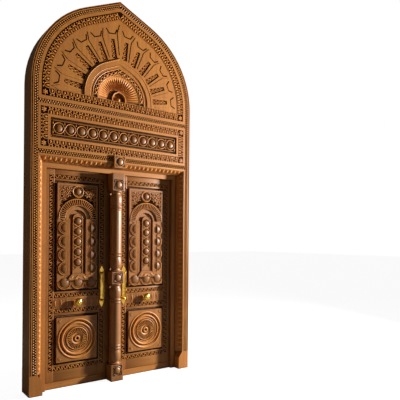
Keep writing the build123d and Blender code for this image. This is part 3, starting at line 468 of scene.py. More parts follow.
def spun(bm, place, points, sweep=360, steps=24, start=0):
    """Spins a line of (radius, rise) points round the place's Z axis."""
    work = bmesh.new()
    geom = chain(work, [(radius, 0, rise) for radius, rise in points])
    bmesh.ops.spin(
        work, geom=geom, cent=(0, 0, 0), axis=(0, 0, 1), angle=math.radians(sweep), steps=steps,
        use_merge=sweep == 360,
    )
    bmesh.ops.remove_doubles(work, verts=work.verts[:], dist=0.001)
    bmesh.ops.recalc_face_normals(work, faces=work.faces[:])
    join(bm, work, place @ Matrix.Rotation(math.radians(start), 4, "Z"))


def half_round(radius, half, rise, parts=4, base=0):
    """Section of a half-round moulding as (radius, rise) points."""
    steps = [math.pi * index / parts for index in range(parts + 1)]
    return [(radius + half * math.cos(step), base + rise * math.sin(step)) for step in steps]


def moulding(bm, place, radius, half, rise, sweep=360, steps=24, start=0, parts=4):
    """A half-round ring, or part of one, lying on a face."""
    spun(bm, place, half_round(radius, half, rise, parts), sweep, steps, start)


def bar(bm, place, length, half, rise, parts=3):
    """A half-round bar that starts at the place and runs along its Y axis."""
    work = bmesh.new()
    section = half_round(0, half, rise, parts)
    geom = chain(work, [(across, 0, up) for across, up in section])
    edges = [item for item in geom if isinstance(item, bmesh.types.BMEdge)]
    made = bmesh.ops.extrude_edge_only(work, edges=edges)["geom"]
    ends = [item for item in made if isinstance(item, bmesh.types.BMVert)]
    bmesh.ops.translate(work, vec=(0, length, 0), verts=ends)
    bmesh.ops.recalc_face_normals(work, faces=work.faces[:])
    join(bm, work, place)


def bar_between(bm, first, second, y, half, rise, parts=3):
    """A half-round bar on a front face between two spots (x, z)."""
    run = Vector(second) - Vector(first)
    turn = math.atan2(run.x, run.y)
    bar(bm, face(first[0], y, first[1], turn), run.length, half, rise, parts)


def ground(bm, x, y, z):
    """A flat sheet for painted shade on a front face between two limits across and two limits up."""
    place = face(sum(x) / 2, y - GROUND_LIFT, sum(z) / 2)
    reach = stretched(abs(x[1] - x[0]) / 2, abs(z[1] - z[0]) / 2, 1)
    bmesh.ops.create_grid(bm, x_segments=1, y_segments=1, size=1, matrix=place @ reach)


def sunk_block(bm, low, high, channels=(), depth=0, taper=(0, 0)):
    """A timber with eased edges, with channels (limits across, limits up) sunk into its front."""
    work = bmesh.new()
    low, high = Vector(low), Vector(high)
    place = Matrix.Translation((low + high) / 2) @ stretched(*(high - low))
    bmesh.ops.create_cube(work, size=1, matrix=place)
    for vert in work.verts:
        if vert.co.y < (low.y + high.y) / 2:
            vert.co.x += taper[0] if vert.co.x < (low.x + high.x) / 2 else -taper[1]
    bmesh.ops.bevel(
        work, geom=work.edges[:], offset=0.8, segments=2, affect="EDGES", profile=0.5, material=-1,
    )
    for across, up in channels:
        cuts = [((x, 0, 0), (1, 0, 0)) for x in across] + [((0, 0, z), (0, 0, 1)) for z in up]
        for point, normal in cuts:
            geom = work.verts[:] + work.edges[:] + work.faces[:]
            bmesh.ops.bisect_plane(work, geom=geom, plane_co=point, plane_no=normal)
    work.normal_update()
    for across, up in channels:
        front = []
        for one in work.faces:
            middle = one.calc_center_median()
            within = min(across) < middle.x < max(across) and min(up) < middle.z < max(up)
            if one.normal.y < -0.9 and within:
                front.append(one)
        bmesh.ops.inset_region(work, faces=front, thickness=0.8, depth=0)
        verts = {vert for one in front for vert in one.verts}
        bmesh.ops.translate(work, vec=(0, depth, 0), verts=list(verts))
    bmesh.ops.recalc_face_normals(work, faces=work.faces[:])
    join(bm, work)


def rope_frame(bm, shades, centre, y, half, high):
    """A twisted rope in the sunk margin round a raised field, on a dark sheet of painted shade."""
    x, z = centre
    margin, inset, pitch, lean = 36, 13, 15, math.radians(38)
    strand = stretched(4.6, 10, 7)
    for side in (-1, 1):
        ground(shades, (x + side * (half - margin), x + side * half), y, (z - high, z + high))
        ground(shades, (x - half, x + half), y, (z + side * (high - margin), z + side * high))
    left, right = x - half + inset, x + half - inset
    foot, top = z - high + inset, z + high - inset
    corners = [(left, foot), (right, foot), (right, top), (left, top)]
    for first, second in zip(corners, corners[1:] + corners[:1]):
        run = Vector(second) - Vector(first)
        turn = math.atan2(run.x, run.y) + lean
        stamp_row(bm, unit("petal"), first, second, y, pitch, turn, strand)


def panel_margin(bm, shades, node):
    """The rope frame in the sunk margin of a leaf panel, inside the tongue that the leaf holds."""
    tongue = 12
    middle, reach = (near(node) + far(node)) / 2, (far(node) - near(node)) / 2
    rope_frame(bm, shades, (middle.x, middle.z), PANEL_MARGIN_FLOOR, reach.x - tongue, reach.z - tongue)


def boss(bm, x, y, z, radius, rise):
    """A smooth dome on a front face."""
    stamp(bm, unit("dome"), face(x, y, z) @ stretched(radius, radius, rise))


def painted_shaded_ring(bm, spot, inner, outer, sweep=360, steps=24, start=0):
    """A flat ring of painted shade, or part of one, on a floor at a spot (x, y, z)."""
    x, y, z = spot
    spun(bm, face(x, y - GROUND_LIFT, z), [(inner, 0), (outer, 0)], sweep, steps, start)


def eased(points, parts=3):
    """Rounds each inner corner of a line of points."""
    reach, most = 4, 0.45
    line = [Vector(point) for point in points]
    smooth = [line[0]]
    for before, here, after in zip(line, line[1:], line[2:]):
        start = here.lerp(before, min(most, reach / max(1, (before - here).length)))
        end = here.lerp(after, min(most, reach / max(1, (after - here).length)))
        for index in range(parts + 1):
            share = index / parts
            smooth.append(start.lerp(here, share).lerp(here.lerp(end, share), share))
    smooth.append(line[-1])
    return [tuple(point) for point in smooth]


def new_piece(name, bm, body, finish, replaced=(), smooth=40):
    """Turns a bmesh drawn in millimetres into a finished piece that rides on a body."""
    bmesh.ops.scale(bm, vec=(MM, MM, MM), verts=bm.verts[:])
    mesh = bpy.data.meshes.new(name)
    bm.to_mesh(mesh)
    bm.free()
    piece = bpy.data.objects.new(name, mesh)
    bpy.context.scene.collection.objects.link(piece)
    mesh.shade_smooth()
    mesh.set_sharp_from_angle(angle=math.radians(smooth))
    paint(piece, finish)
    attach(piece, body)
    if replaced:
        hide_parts(*replaced)
    return piece


# Small shapes that the carving repeats, each with few faces

def half_ball(segments, rings):
    """Upper half of a ball of radius one."""
    bm = bmesh.new()
    bmesh.ops.create_uvsphere(bm, u_segments=segments, v_segments=rings, radius=1)
    geom = bm.verts[:] + bm.edges[:] + bm.faces[:]
    bmesh.ops.bisect_plane(
        bm, geom=geom, dist=0.01, plane_co=(0, 0, 0), plane_no=(0, 0, 1), clear_inner=True,
    )
    return bm


def petal_shape():
    """A half ball drawn out to a point at its far end."""
    bm = half_ball(8, 4)
    for vert in bm.verts:
        vert.co.x *= 1 - 0.6 * max(0, vert.co.y)
        vert.co.y += 0.25 * max(0, vert.co.y)
    return bm


def diamond_shape():
    """A low four-sided pyramid with a small flat top."""
    bm = bmesh.new()
    bmesh.ops.create_cone(
        bm, cap_ends=True, segments=4, radius1=1, radius2=0.22, depth=1,
        matrix=Matrix.Translation((0, 0, 0.5)),
    )
    return bm


def scroll_shape():
    """Two curls joined as an S, about one pitch long."""
    bm = bmesh.new()
    radius = 12.4
    for turn in (0, 180):
        place = shifted(0, 0, 0, turn) @ shifted(0, radius)
        spun(bm, place, half_round(radius, 4.8, 7, 3), 250, 9, -90)
    return bm


def arched_leaf_shape():
    """A petal under an arch, with a pair of beads beyond it; the foot is at Y zero."""
    bm = bmesh.new()
    radius, half, rise = 24.5, 4.8, 9
    moulding(bm, shifted(0, 20), radius, half, rise, 180, 7, 0, 3)
    for side in (-1, 1):
        bar(bm, shifted(side * radius, -1), 21, half, rise)
        stamp(bm, unit("bead"), shifted(side * 15.2, 56) @ stretched(9.5, 9.5, 9))
    stamp(bm, unit("petal"), shifted(0, 15) @ stretched(11, 18, 11))
    return bm


def tongue_shape():
    """A round-ended tongue lying across the splay, with a dart and a bead beside it."""
    bm = bmesh.new()
    stamp(bm, unit("smooth bead"), shifted(-4, 0) @ stretched(26, 17.5, 9))
    stamp(bm, unit("petal"), shifted(14, 26, 0, 90) @ stretched(4.5, 20, 7))
    stamp(bm, unit("bead"), shifted(-30, 26) @ stretched(6, 6, 7))
    moulding(bm, shifted(-8, 0), 24, 2.4, 6, 200, 8, 80, 3)
    return bm


UNIT_SHAPES = {
    "bead": lambda: half_ball(6, 4), "smooth bead": lambda: half_ball(12, 6),
    "dome": lambda: half_ball(24, 12), "petal": petal_shape, "diamond": diamond_shape,
    "scroll": scroll_shape, "arched leaf": arched_leaf_shape, "tongue": tongue_shape,
}


def unit(name):
    """One of the small shapes as a mesh, drawn when it is first asked for."""
    mesh = bpy.data.meshes.get(name)
    if mesh is None:
        bm = UNIT_SHAPES[name]()
        bmesh.ops.recalc_face_normals(bm, faces=bm.faces[:])
        mesh = bpy.data.meshes.new(name)
        bm.to_mesh(mesh)
        bm.free()
    return mesh


def spots_along(start, end, pitch, shift=0.5):
    """Even spots (x, z) from one point to another, about a pitch apart."""
    start, end = Vector(start), Vector(end)
    count = max(1, round((end - start).length / pitch))
    return [start.lerp(end, (index + shift) / count) for index in range(count)]


def stamp_row(bm, mesh, start, end, y, pitch, turn=0, size=Matrix(), shift=0.5):
    """Adds copies of a mesh on a front face, from one point (x, z) to another, about a pitch apart."""
    for spot in spots_along(start, end, pitch, shift):
        stamp(bm, mesh, face(spot.x, y, spot.y, turn) @ size)


def keel_spots(radius, pitch, centre, shift=0.5):
    """Even spots (x, z, turn) along the right half of the pointed head, from the spring to the point."""
    arc = radius * SLOPE
    whole = arc + radius / math.tan(SLOPE)
    count = max(1, round(whole / pitch))
    spots = []
    for index in range(count):
        along = (index + shift) * whole / count
        angle = min(along / radius, SLOPE)
        past = max(0.0, along - arc)
        x = radius * math.cos(angle) - past * math.sin(SLOPE)
        z = centre + radius * math.sin(angle) + past * math.cos(SLOPE)
        spots.append((x, z, math.pi / 2 - angle))
    return spots


def keel_reach(angle):
    """How much further out the pointed head lies than its arc, at an angle in degrees."""
    steep = math.radians(angle if angle <= 90 else 180 - angle) - SLOPE
    return 1 / math.cos(steep) if steep > 0 else 1


def keel_moulding(bm, radius, half, rise, y, centre=FAN_CENTRE, foot=0, parts=4):
    """A half-round moulding along the pointed head, from a foot below the centre."""
    work = bmesh.new()
    steps = 24
    arc = [SLOPE * step / steps for step in range(steps + 1)]
    points = [(radius, foot - centre)] if foot < centre else []
    points += [(radius * math.cos(step), radius * math.sin(step)) for step in arc]
    points += [(0, radius / math.sin(SLOPE))]
    points += [(-x, z) for x, z in reversed(points[:-1])]
    rows = []
    for index, (x, z) in enumerate(points):
        back = Vector(points[max(0, index - 1)])
        ahead = Vector(points[min(len(points) - 1, index + 1)])
        run = (ahead - back).normalized()
        out = Vector((run.y, -run.x))
        widen = 1 / math.sin(SLOPE) if x == 0 else 1
        section = half_round(0, half * widen, rise, parts)
        line = [(x + out.x * across, y - up, centre + z + out.y * across) for across, up in section]
        rows.append(chain(work, line))
    for first, second in zip(rows, rows[1:]):
        edges = [item for item in first + second if isinstance(item, bmesh.types.BMEdge)]
        bmesh.ops.bridge_loops(work, edges=edges)
    bmesh.ops.recalc_face_normals(work, faces=work.faces[:])
    join(bm, work)


# Finishes of the construction

class DOOR_OT_finishes(bpy.types.Operator):
    """Give each part of the construction its wood or brass."""

    bl_idname = "door.finishes"
    bl_label = "Wood and brass finishes"

    def execute(self, context):
        make_materials(context)
        for name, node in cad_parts.items():
            if name.startswith(("knob", "handle", "hinge_frame", "hinge_leaf")):
                paint(node, "Polished brass")
            elif name.startswith(("upper_panel", "lower_panel", "hinge_stile", "meeting_stile")):
                paint(node, "Leaf wood upright")
            elif name.startswith(("top_rail", "lock_rail", "bottom_rail")):
                paint(node, "Leaf wood across")
            elif name.startswith(("jamb", "over_panel_end", "stop_left", "stop_right", "centre_post")):
                paint(node, "Frame wood upright")
            elif name.startswith(("fan", "shell", "keystone")):
                paint(node, "Frame wood upright")
            else:
                paint(node, "Frame wood across")
        return {"FINISHED"}


class DOOR_OT_checker(bpy.types.Operator):
    """Carve the checker border of small diamonds round the frame, on the transom and on the lintel."""

    bl_idname = "door.checker"
    bl_label = "Checker border"

    def execute(self, context):
        pitch = context.scene.door_carving.checker_pitch / MM
        # Distance of each row from the border's inner edge, and how far it is shifted along
        rows = ((10.5, 0.25), (28.5, 0.75))
        plinth_top, width, key_half, edge = 200, 39, 63, 4
        diamond = stretched(pitch * 0.40, pitch * 0.40, 4.5)
        bm = bmesh.new()
        for side in (-1, 1):
            for row, shift in rows:
                x = side * (PANEL_HALF + row)
                ends = ((x, plinth_top + 5), (x, SPRING))
                stamp_row(bm, unit("diamond"), *ends, CHECKER_FLOOR, pitch, 0, diamond, shift)
                for x, z, turn in keel_spots(PANEL_HALF + row, pitch, SPRING, shift):
                    stamp(bm, unit("diamond"), face(side * x, CHECKER_FLOOR, z, side * turn) @ diamond)
        for bottom, clear in ((TRANSOM_LOW + 5, -1), (OVER_LOW - 43, key_half + 3)):
            for row, shift in rows:
                z = bottom + row
                for spot in spots_along((-PANEL_HALF, z), (PANEL_HALF, z), pitch, shift):
                    if abs(spot.x) > clear:
                        stamp(bm, unit("diamond"), face(spot.x, CHECKER_FLOOR, spot.y) @ diamond)
        new_piece("checker_border", bm, "frame", "Frame carving painted highlight", smooth=10)

        # Dark sheets of painted shade under the diamonds
        bm = bmesh.new()
        lintel = (OVER_LOW - 45, OVER_LOW - edge)
        for side in (-1, 1):
            upright = (side * PANEL_HALF, side * (PANEL_HALF + width))
            ground(bm, upright, CHECKER_FLOOR, (plinth_top, SPRING))
            ground(bm, (side * key_half, side * PANEL_HALF), CHECKER_FLOOR, lintel)
        ground(bm, (-PANEL_HALF, PANEL_HALF), CHECKER_FLOOR, (TRANSOM_LOW + edge, SILL_FOOT - edge))
        half = width / 2
        keel_moulding(bm, PANEL_HALF + half, half, 0, CHECKER_FLOOR - GROUND_LIFT, SPRING, SPRING, 1)
        new_piece("checker_painted_shade", bm, "frame", "Painted shade coloured ground")
        return {"FINISHED"}


class DOOR_OT_leaf_borders(bpy.types.Operator):
    """Carve the borders of arched leaves and beads round the over-panel and the head."""

    bl_idname = "door.leaf_borders"
    bl_label = "Leaf borders"

    def execute(self, context):
        pitch = context.scene.door_carving.leaf_pitch / MM
        leaf = unit("arched leaf")
        self.over_panel(leaf, pitch)
        self.head(leaf, pitch)
        # Dark sheets of painted shade under the leaf borders
        bm = bmesh.new()
        edge, band = 24, 68
        outer, low, high = PANEL_HALF - edge, OVER_LOW + edge, OVER_HIGH - edge
        for side in (-1, 1):
            ground(bm, (side * outer, side * (outer - band)), BORDER_FLOOR, (low, high))
        for z in (low, high - band):
            ground(bm, (band - outer, outer - band), BORDER_FLOOR, (z, z + band))
        edge, half = 30, 37.5
        outer, foot = PANEL_HALF - edge, SILL_FOOT + edge
        ground(bm, (-outer, outer), BORDER_FLOOR, (foot, foot + 2 * half))
        keel_moulding(bm, outer - half, half, 0, BORDER_FLOOR - GROUND_LIFT, SPRING, foot, 1)
        new_piece("leaf_border_painted_shade", bm, "frame", "Painted shade coloured ground")
        return {"FINISHED"}

    def over_panel(self, leaf, pitch):
        """Leaves on the four sides of the over-panel, with their feet on its field."""
        bm = bmesh.new()
        foot, corner = 89, 54
        inner, clear = PANEL_HALF - 91, 92
        for z, turn in ((OVER_HIGH - foot, 0), (OVER_LOW + foot, math.pi)):
            stamp_row(bm, leaf, (-inner, z), (inner, z), BORDER_FLOOR, pitch, turn)
        for side in (-1, 1):
            x = side * (PANEL_HALF - foot)
            ends = ((x, OVER_LOW + clear), (x, OVER_HIGH - clear))
            stamp_row(bm, leaf, *ends, BORDER_FLOOR, pitch, side * math.pi / 2)
            for z in (OVER_LOW + corner, OVER_HIGH - corner):
                self.corner(bm, side * (PANEL_HALF - corner), z)
        new_piece("over_panel_leaves", bm, "frame", "Frame carving painted highlight")

    def head(self, leaf, pitch):
        """Leaves along the sill and the pointed line of the head."""
        bm = bmesh.new()
        inner, sill, corner = PANEL_HALF - 101, SILL_FOOT + 102, 66
        stamp_row(bm, leaf, (-inner, sill), (inner, sill), BORDER_FLOOR, pitch, math.pi)
        line = inner - 1
        for side in (-1, 1):
            self.corner(bm, side * (PANEL_HALF - corner), SILL_FOOT + corner)
            stamp(bm, leaf, face(side * line, BORDER_FLOOR, (sill + SPRING) / 2, side * math.pi / 2))
            for x, z, turn in keel_spots(line, pitch * 0.93, SPRING):
                stamp(bm, leaf, face(side * x, BORDER_FLOOR, z, side * turn))
        new_piece("head_leaves", bm, "frame", "Frame carving painted highlight")

    def corner(self, bm, x, z):
        """A small flower that turns the border's corner."""
        middle = face(x, BORDER_FLOOR, z)
        for index in range(6):
            place = middle @ shifted(0, 0, 0, index * 60) @ shifted(0, 16)
            stamp(bm, unit("petal"), place @ stretched(8, 11, 7))
        stamp(bm, unit("smooth bead"), middle @ stretched(9, 9, 9))


class DOOR_OT_tongues(bpy.types.Operator):
    """Carve the row of tongues on the splay round the doorway."""

    bl_idname = "door.tongues"
    bl_label = "Splay tongues"

    def execute(self, context):
        pitch = context.scene.door_carving.tongue_pitch / MM
        tongue = unit("tongue")
        bm = bmesh.new()
        foot, clear, key_half = 222, 8, 70
        middle = (REVEAL_HALF + SPLAY_HALF) / 2
        depth = FRONT + SPLAY_DEPTH / 2
        top = REVEAL_HEIGHT + SPLAY_WIDTH / 2
        for side in (-1, 1):
            rise = Vector((-side * SPLAY_DEPTH, -SPLAY_WIDTH, 0))
            along = Vector((0, 0, -side))
            for spot in spots_along((side * middle, foot), (side * middle, top - clear), pitch):
                stamp(bm, tongue, lying((spot.x, depth, spot.y), along, rise))
        rise = Vector((0, -SPLAY_WIDTH, -SPLAY_DEPTH))
        for side in (-1, 1):
            for spot in spots_along((side * key_half, top), (side * (middle - clear), top), pitch):
                stamp(bm, tongue, lying((spot.x, depth, spot.y), (1, 0, 0), rise))
        new_piece("splay_tongues", bm, "frame", "Frame carving painted highlight")
        return {"FINISHED"}


class DOOR_OT_scrolls(bpy.types.Operator):
    """Carve the running scrolls round the panels of both leaves."""

    bl_idname = "door.scrolls"
    bl_label = "Running scrolls"

    def execute(self, context):
        pitch = context.scene.door_carving.scroll_pitch / MM
        scroll = unit("scroll")
        clear = 12
        lower = (SCROLL_LOW, near("handle_plate_left").z - clear)
        upper = (far("handle_plate_left").z + clear, SCROLL_HIGH)
        runs = ((HINGE_RUN, (SCROLL_LOW, SCROLL_HIGH)), (MEETING_RUN, lower), (MEETING_RUN, upper))
        for name, side in LEAVES:
            self.timbers(name, side, lower, upper)
            bm = bmesh.new()
            for x, (start, end) in runs:
                stamp_row(bm, scroll, (side * x, start), (side * x, end), SCROLL_FLOOR, pitch)
            outer, inner = HINGE_RUN - 22, MEETING_RUN + 22
            for heights in RAIL_RUNS.values():
                for z in heights:
                    ends = ((side * outer, z), (side * inner, z))
                    stamp_row(bm, scroll, *ends, SCROLL_FLOOR, pitch * 0.95, math.pi / 2)
            new_piece(f"scrolls_{name}", bm, f"leaf_{name}", "Leaf carving painted highlight")
        return {"FINISHED"}

    def timbers(self, name, side, lower, upper):
        """The leaf's stiles and rails with the channels that the scrolls run in, and dark sheets of painted
        shade in them.
        """
        shades = bmesh.new()
        lean, edge = 2.5, 1
        hinge, meeting = [
            tuple(side * (x + end * SCROLL_HALF) for end in (-1, 1)) for x in (HINGE_RUN, MEETING_RUN)
        ]
        rail = (side * 160, side * 640)
        runs = {
            "hinge_stile": [(hinge, (lower[0], upper[1]))],
            "meeting_stile": [(meeting, lower), (meeting, upper)],
        }
        for kind in ("top_rail", "lock_rail", "bottom_rail"):
            runs[kind] = [(rail, (z - SCROLL_HALF, z + SCROLL_HALF)) for z in RAIL_RUNS[kind]]
        for kind, channels in runs.items():
            node = f"{kind}_{name}"
            taper = (0, 0)
            if kind == "meeting_stile":
                taper = (lean, 0) if side > 0 else (0, lean)
            bm = bmesh.new()
            sunk_block(bm, near(node), far(node), channels, SCROLL_FLOOR - LEAF_FRONT, taper)
            finish = "Leaf wood across" if kind.endswith("rail") else "Leaf wood upright"
            new_piece(f"carved_{node}", bm, f"leaf_{name}", finish, (node,), smooth=30)
            for across, up in channels:
                inside = (across[0] + side * edge, across[1] - side * edge)
                ground(shades, inside, SCROLL_FLOOR, (up[0] + edge, up[1] - edge))
        new_piece(f"scroll_painted_shade_{name}", shades, f"leaf_{name}", "Painted shade coloured ground")


class DOOR_OT_bosses(bpy.types.Operator):
    """Round the row of bosses in the over-panel, and those on the keystone and the post."""

    bl_idname = "door.bosses"
    bl_label = "Over-panel, keystone and post bosses"

    def execute(self, context):
        self.row()
        bm, shades = bmesh.new(), bmesh.new()
        key_rise, key_centre = 28, near("keystone").z + 65
        self.square(bm, shades, FRONT - key_rise, key_centre)
        for _foot, _top, middle in POST_BLOCKS:
            self.square(bm, shades, FRONT, middle)
        new_piece("square_bosses", bm, "frame", "Turned wood")
        new_piece("square_painted_shade", shades, "frame", "Painted shade coloured ground")
        return {"FINISHED"}

    def row(self):
        """Twelve domes in touching rings on the over-panel's field, in its roped margin."""
        bm, domes, shades = bmesh.new(), bmesh.new(), bmesh.new()
        count, pitch, ring, corner = 12, 117, 52.5, 46
        for index in range(count):
            x = (index - (count - 1) / 2) * pitch
            boss(domes, x, BOSS_FLOOR, OVER_CENTRE, BOSS_RADIUS, 15.6)
            moulding(bm, face(x, BOSS_FLOOR, OVER_CENTRE), ring, 5, 8, 360, 32)
            for side in (-1, 1):
                for end, turn in ((-1, math.pi), (1, 0)):
                    place = face(x + side * pitch / 2, BOSS_FLOOR, OVER_CENTRE + end * corner, turn)
                    stamp(bm, unit("petal"), place @ stretched(8, 17, 6))
        edge = 119
        half, high = PANEL_HALF - edge, OVER_HIGH - OVER_CENTRE - edge
        # The rope takes the domes' darker finish: painted shade in the sunk margin
        rope_frame(domes, shades, (0, OVER_CENTRE), OVER_MARGIN_FLOOR, half, high)
        new_piece("over_panel_rings", bm, "frame", "Frame carving painted highlight")
        new_piece("over_panel_bosses", domes, "frame", "Carved domes painted shade")
        self.field()
        # A dark sheet of painted shade under the row of domes
        half, high = 699, 66.5
        ground(shades, (-half, half), BOSS_FLOOR, (OVER_CENTRE - high, OVER_CENTRE + high))
        new_piece("over_panel_painted_shade", shades, "frame", "Painted shade coloured ground")

    def field(self):
        """The over-panel's plate, and the raised field with the channel that holds the domes."""
        bm = bmesh.new()
        half, high, margin, side_rim, rim = 702, 72.5, 36, 2, 5
        front, back = FRONT + 4, FRONT + 47
        plate = near("boss_panel").x
        low = (plate, OVER_MARGIN_FLOOR, OVER_CENTRE - high - margin)
        sunk_block(bm, low, (-plate, back, OVER_CENTRE + high + margin))
        channel = ((side_rim - half, half - side_rim), (OVER_CENTRE - high + rim, OVER_CENTRE + high - rim))
        low, high = (-half, front, OVER_CENTRE - high), (half, OVER_MARGIN_FLOOR + 1, OVER_CENTRE + high)
        sunk_block(bm, low, high, [channel], BOSS_FLOOR - front)
        new_piece("over_panel_field", bm, "frame", "Frame wood across", ("boss_panel",))

    def square(self, bm, shades, y, z):
        """A dome in a ring, with a leaf in each corner of its sunk square, on a dark sheet of painted
        shade.
        """
        floor, half = y + SQUARE_DEPTH, 52
        middle = face(0, floor, z)
        ground(shades, (-half, half), floor, (z - half, z + half))
        boss(bm, 0, floor, z, BOSS_RADIUS, 19.2)
        moulding(bm, middle, 47, 5, 7.4, 360, 32)
        for index in range(4):
            corner = middle @ shifted(0, 0, 0, 45 + index * 90) @ shifted(0, 58)
            stamp(bm, unit("petal"), corner @ stretched(7, 9, 5))


class DOOR_OT_post(bpy.types.Operator):
    """Turn the centre post: square blocks with smooth turned lengths between them."""

    bl_idname = "door.post"
    bl_label = "Turned centre post"

    def execute(self, context):
        steps = context.scene.door_carving.turned_steps
        bm = bmesh.new()
        half, square = 68, 54
        for low, high, middle in POST_BLOCKS:
            sunk = ((-square, square), (middle - square, middle + square))
            sunk_block(bm, (-half, FRONT, low), (half, -FRONT, high), [sunk], SQUARE_DEPTH)
        # One end of a turned length as shares of its reach and radii; the other end mirrors it
        turned = (
            (0.00, 62), (0.035, 64), (0.06, 62), (0.075, 50), (0.13, 46), (0.19, 49), (0.24, 56),
            (0.34, 60.5), (0.46, 61.5), (0.58, 60), (0.68, 55), (0.72, 53), (0.735, 60), (0.785, 63),
            (0.83, 60), (0.845, 54.5), (0.865, 54.5), (0.88, 60), (0.92, 62.5), (0.955, 60), (0.97, 58.5),
        )
        reach, core = 216, 20
        for (_, top, _), (foot, _, _) in zip(POST_BLOCKS, POST_BLOCKS[1:]):
            line = [(radius, top + share * reach) for share, radius in turned]
            line += [(radius, foot - share * reach) for share, radius in reversed(turned)]
            spun(bm, Matrix(), eased([(core, top)] + line + [(core, foot)]), 360, steps)
        new_piece("turned_post", bm, "frame", "Turned wood", ("centre_post",), smooth=50)
        return {"FINISHED"}


class DOOR_OT_upper_panels(bpy.types.Operator):
    """Carve the arches, columns, scallops and foliage of the upper leaf panels."""

    bl_idname = "door.upper_panels"
    bl_label = "Upper panel carving"

    def execute(self, context):
        for name, side in LEAVES:
            bm, domes, shades = bmesh.new(), bmesh.new(), bmesh.new()
            centre = side * PANEL_CENTRE
            self.arch(bm, shades, centre)
            self.column(bm, domes, shades, centre)
            self.corbel(bm, centre)
            self.scallops(bm, domes, shades, centre)
            self.foliage(bm, domes, shades, centre)
            # The rope takes the domes' darker finish: painted shade in the sunk margin
            panel_margin(domes, shades, f"upper_panel_{name}")
            new_piece(f"panel_domes_{name}", domes, f"leaf_{name}", "Carved domes painted shade")
            new_piece(f"upper_carving_{name}", bm, f"leaf_{name}", "Leaf carving painted highlight")
            new_piece(f"panel_painted_shade_{name}", shades, f"leaf_{name}", "Painted shade coloured ground")
        return {"FINISHED"}

    def arch(self, bm, shades, centre):
        """Half rings and rays over the niche."""
        front = face(centre, FIELD_FRONT, ARCH_HEIGHT)
        moulding(bm, front, 201, 6, 6, 180, 32)
        moulding(bm, front, 138, 4, 5, 180, 28)
        rays, inner, length = 28, 142, 54
        for index in range(rays):
            ray = front @ shifted(0, 0, 0, index * 180 / (rays - 1) - 90)
            bar(bm, ray @ shifted(0, inner), length, 4.6, 9)
        painted_shaded_ring(shades, (centre, FIELD_FRONT, ARCH_HEIGHT), 140, 197, 180, 32)

    def column(self, bm, domes, shades, centre):
        """Domes in rings linked by crossed bars, between beaded fins."""
        side, foot, reach, tip = 50, 1140, 34, 30
        moulding(bm, face(centre, COLUMN_FLOOR, ARCH_HEIGHT), side, 3.5, 4, 180, 20)
        for z in COLUMN_HEIGHTS:
            boss(domes, centre, COLUMN_FLOOR, z, 36, 15.6)
            moulding(bm, face(centre, COLUMN_FLOOR, z), 48.5, 3.4, 5, 360, 24, 0, 3)
            painted_shaded_ring(shades, (centre, COLUMN_FLOOR, z), 35, 47)
        for end in (-1, 1):
            x = centre + end * side
            bar_between(bm, (x, foot), (x, ARCH_HEIGHT), COLUMN_FLOOR, 3.5, 4)
            for high, low in zip(COLUMN_HEIGHTS, COLUMN_HEIGHTS[1:]):
                spots = ((centre - end * reach, high - tip), (centre + end * reach, low + tip))
                bar_between(bm, *spots, COLUMN_FLOOR, 3.4, 4.5)
            self.fin(bm, centre, end)

    def fin(self, bm, centre, end):
        """A flat fin beside the column, with rows of fine beads on it."""
        inner, outer, foot = 84, 135, 1094
        front, back = FIELD_FRONT + 1, FIELD_FRONT + 12
        sides = sorted((centre + end * inner, centre + end * outer))
        sunk_block(bm, (sides[0], front, foot), (sides[1], back, ARCH_HEIGHT))
        pitch, bead = 12, stretched(4.4, 4.4, 4)
        for row in range(5):
            x = centre + end * (inner + 6 + row * 10)
            ends = ((x, foot + pitch), (x, ARCH_HEIGHT - 3))
            stamp_row(bm, unit("bead"), *ends, front, pitch, 0, bead, 0.25 + row % 2 / 2)

    def corbel(self, bm, centre):
        """Leaves fanned over the corbel, and beads along its foot."""
        for index in range(7):
            place = face(centre, CORBEL_FRONT, 1084) @ shifted(0, 0, 0, (3 - index) * 24) @ shifted(0, 24)
            stamp(bm, unit("petal"), place @ stretched(8, 19, 6))
        for end in (-1, 1):
            for x, z, turn, leaf in ((66, 1102, 40, (9, 20, 5)), (86, 1092, -70, (6, 12, 5))):
                place = face(centre + end * x, CORBEL_FRONT, z) @ shifted(0, 0, 0, end * turn)
                stamp(bm, unit("petal"), place @ stretched(*leaf))
        half, foot, pitch = 114, 1080, 12
        ends, bead = ((centre - half, foot), (centre + half, foot)), stretched(5.4, 5.4, 5)
        stamp_row(bm, unit("bead"), *ends, CORBEL_FRONT, pitch, 0, bead)

    def scallops(self, bm, domes, shades, centre):
        """Rings round the half domes at the sides and round the domes at the foot."""
        # Half width and rise of the inner and the outer rings
        inner, outer = (3.2, 7), (5.5, 10)
        for z in SCALLOP_HEIGHTS:
            for end in (-1, 1):
                x, start = centre + end * 136, -90 * end
                place = face(x, FIELD_FRONT, z)
                work = bmesh.new()
                stamp(work, unit("dome"), stretched(42, 42, 14.4))
                geom = work.verts[:] + work.edges[:] + work.faces[:]
                bmesh.ops.bisect_plane(
                    work, geom=geom, plane_co=(0, 0, 0), plane_no=(end, 0, 0), clear_inner=True,
                )
                join(domes, work, place)
                moulding(bm, place, 49, *inner, 180, 14, start, 3)
                moulding(bm, place, 63.5, *outer, 180, 16, start, 3)
                painted_shaded_ring(shades, (x, FIELD_FRONT, z), 41, 66, 180, 14, start)
        for index in (-1, 0, 1):
            x, z = centre + index * 142, 1055
            place = face(x, FIELD_FRONT, z)
            boss(domes, x, FIELD_FRONT, z, 48, 15.6)
            moulding(bm, place, 52, *inner, 200, 16, 170, 3)
            moulding(bm, place, 65.5, *outer, 180, 18, 180, 3)
            painted_shaded_ring(shades, (x, FIELD_FRONT, z), 46, 66, 200, 16, 170)

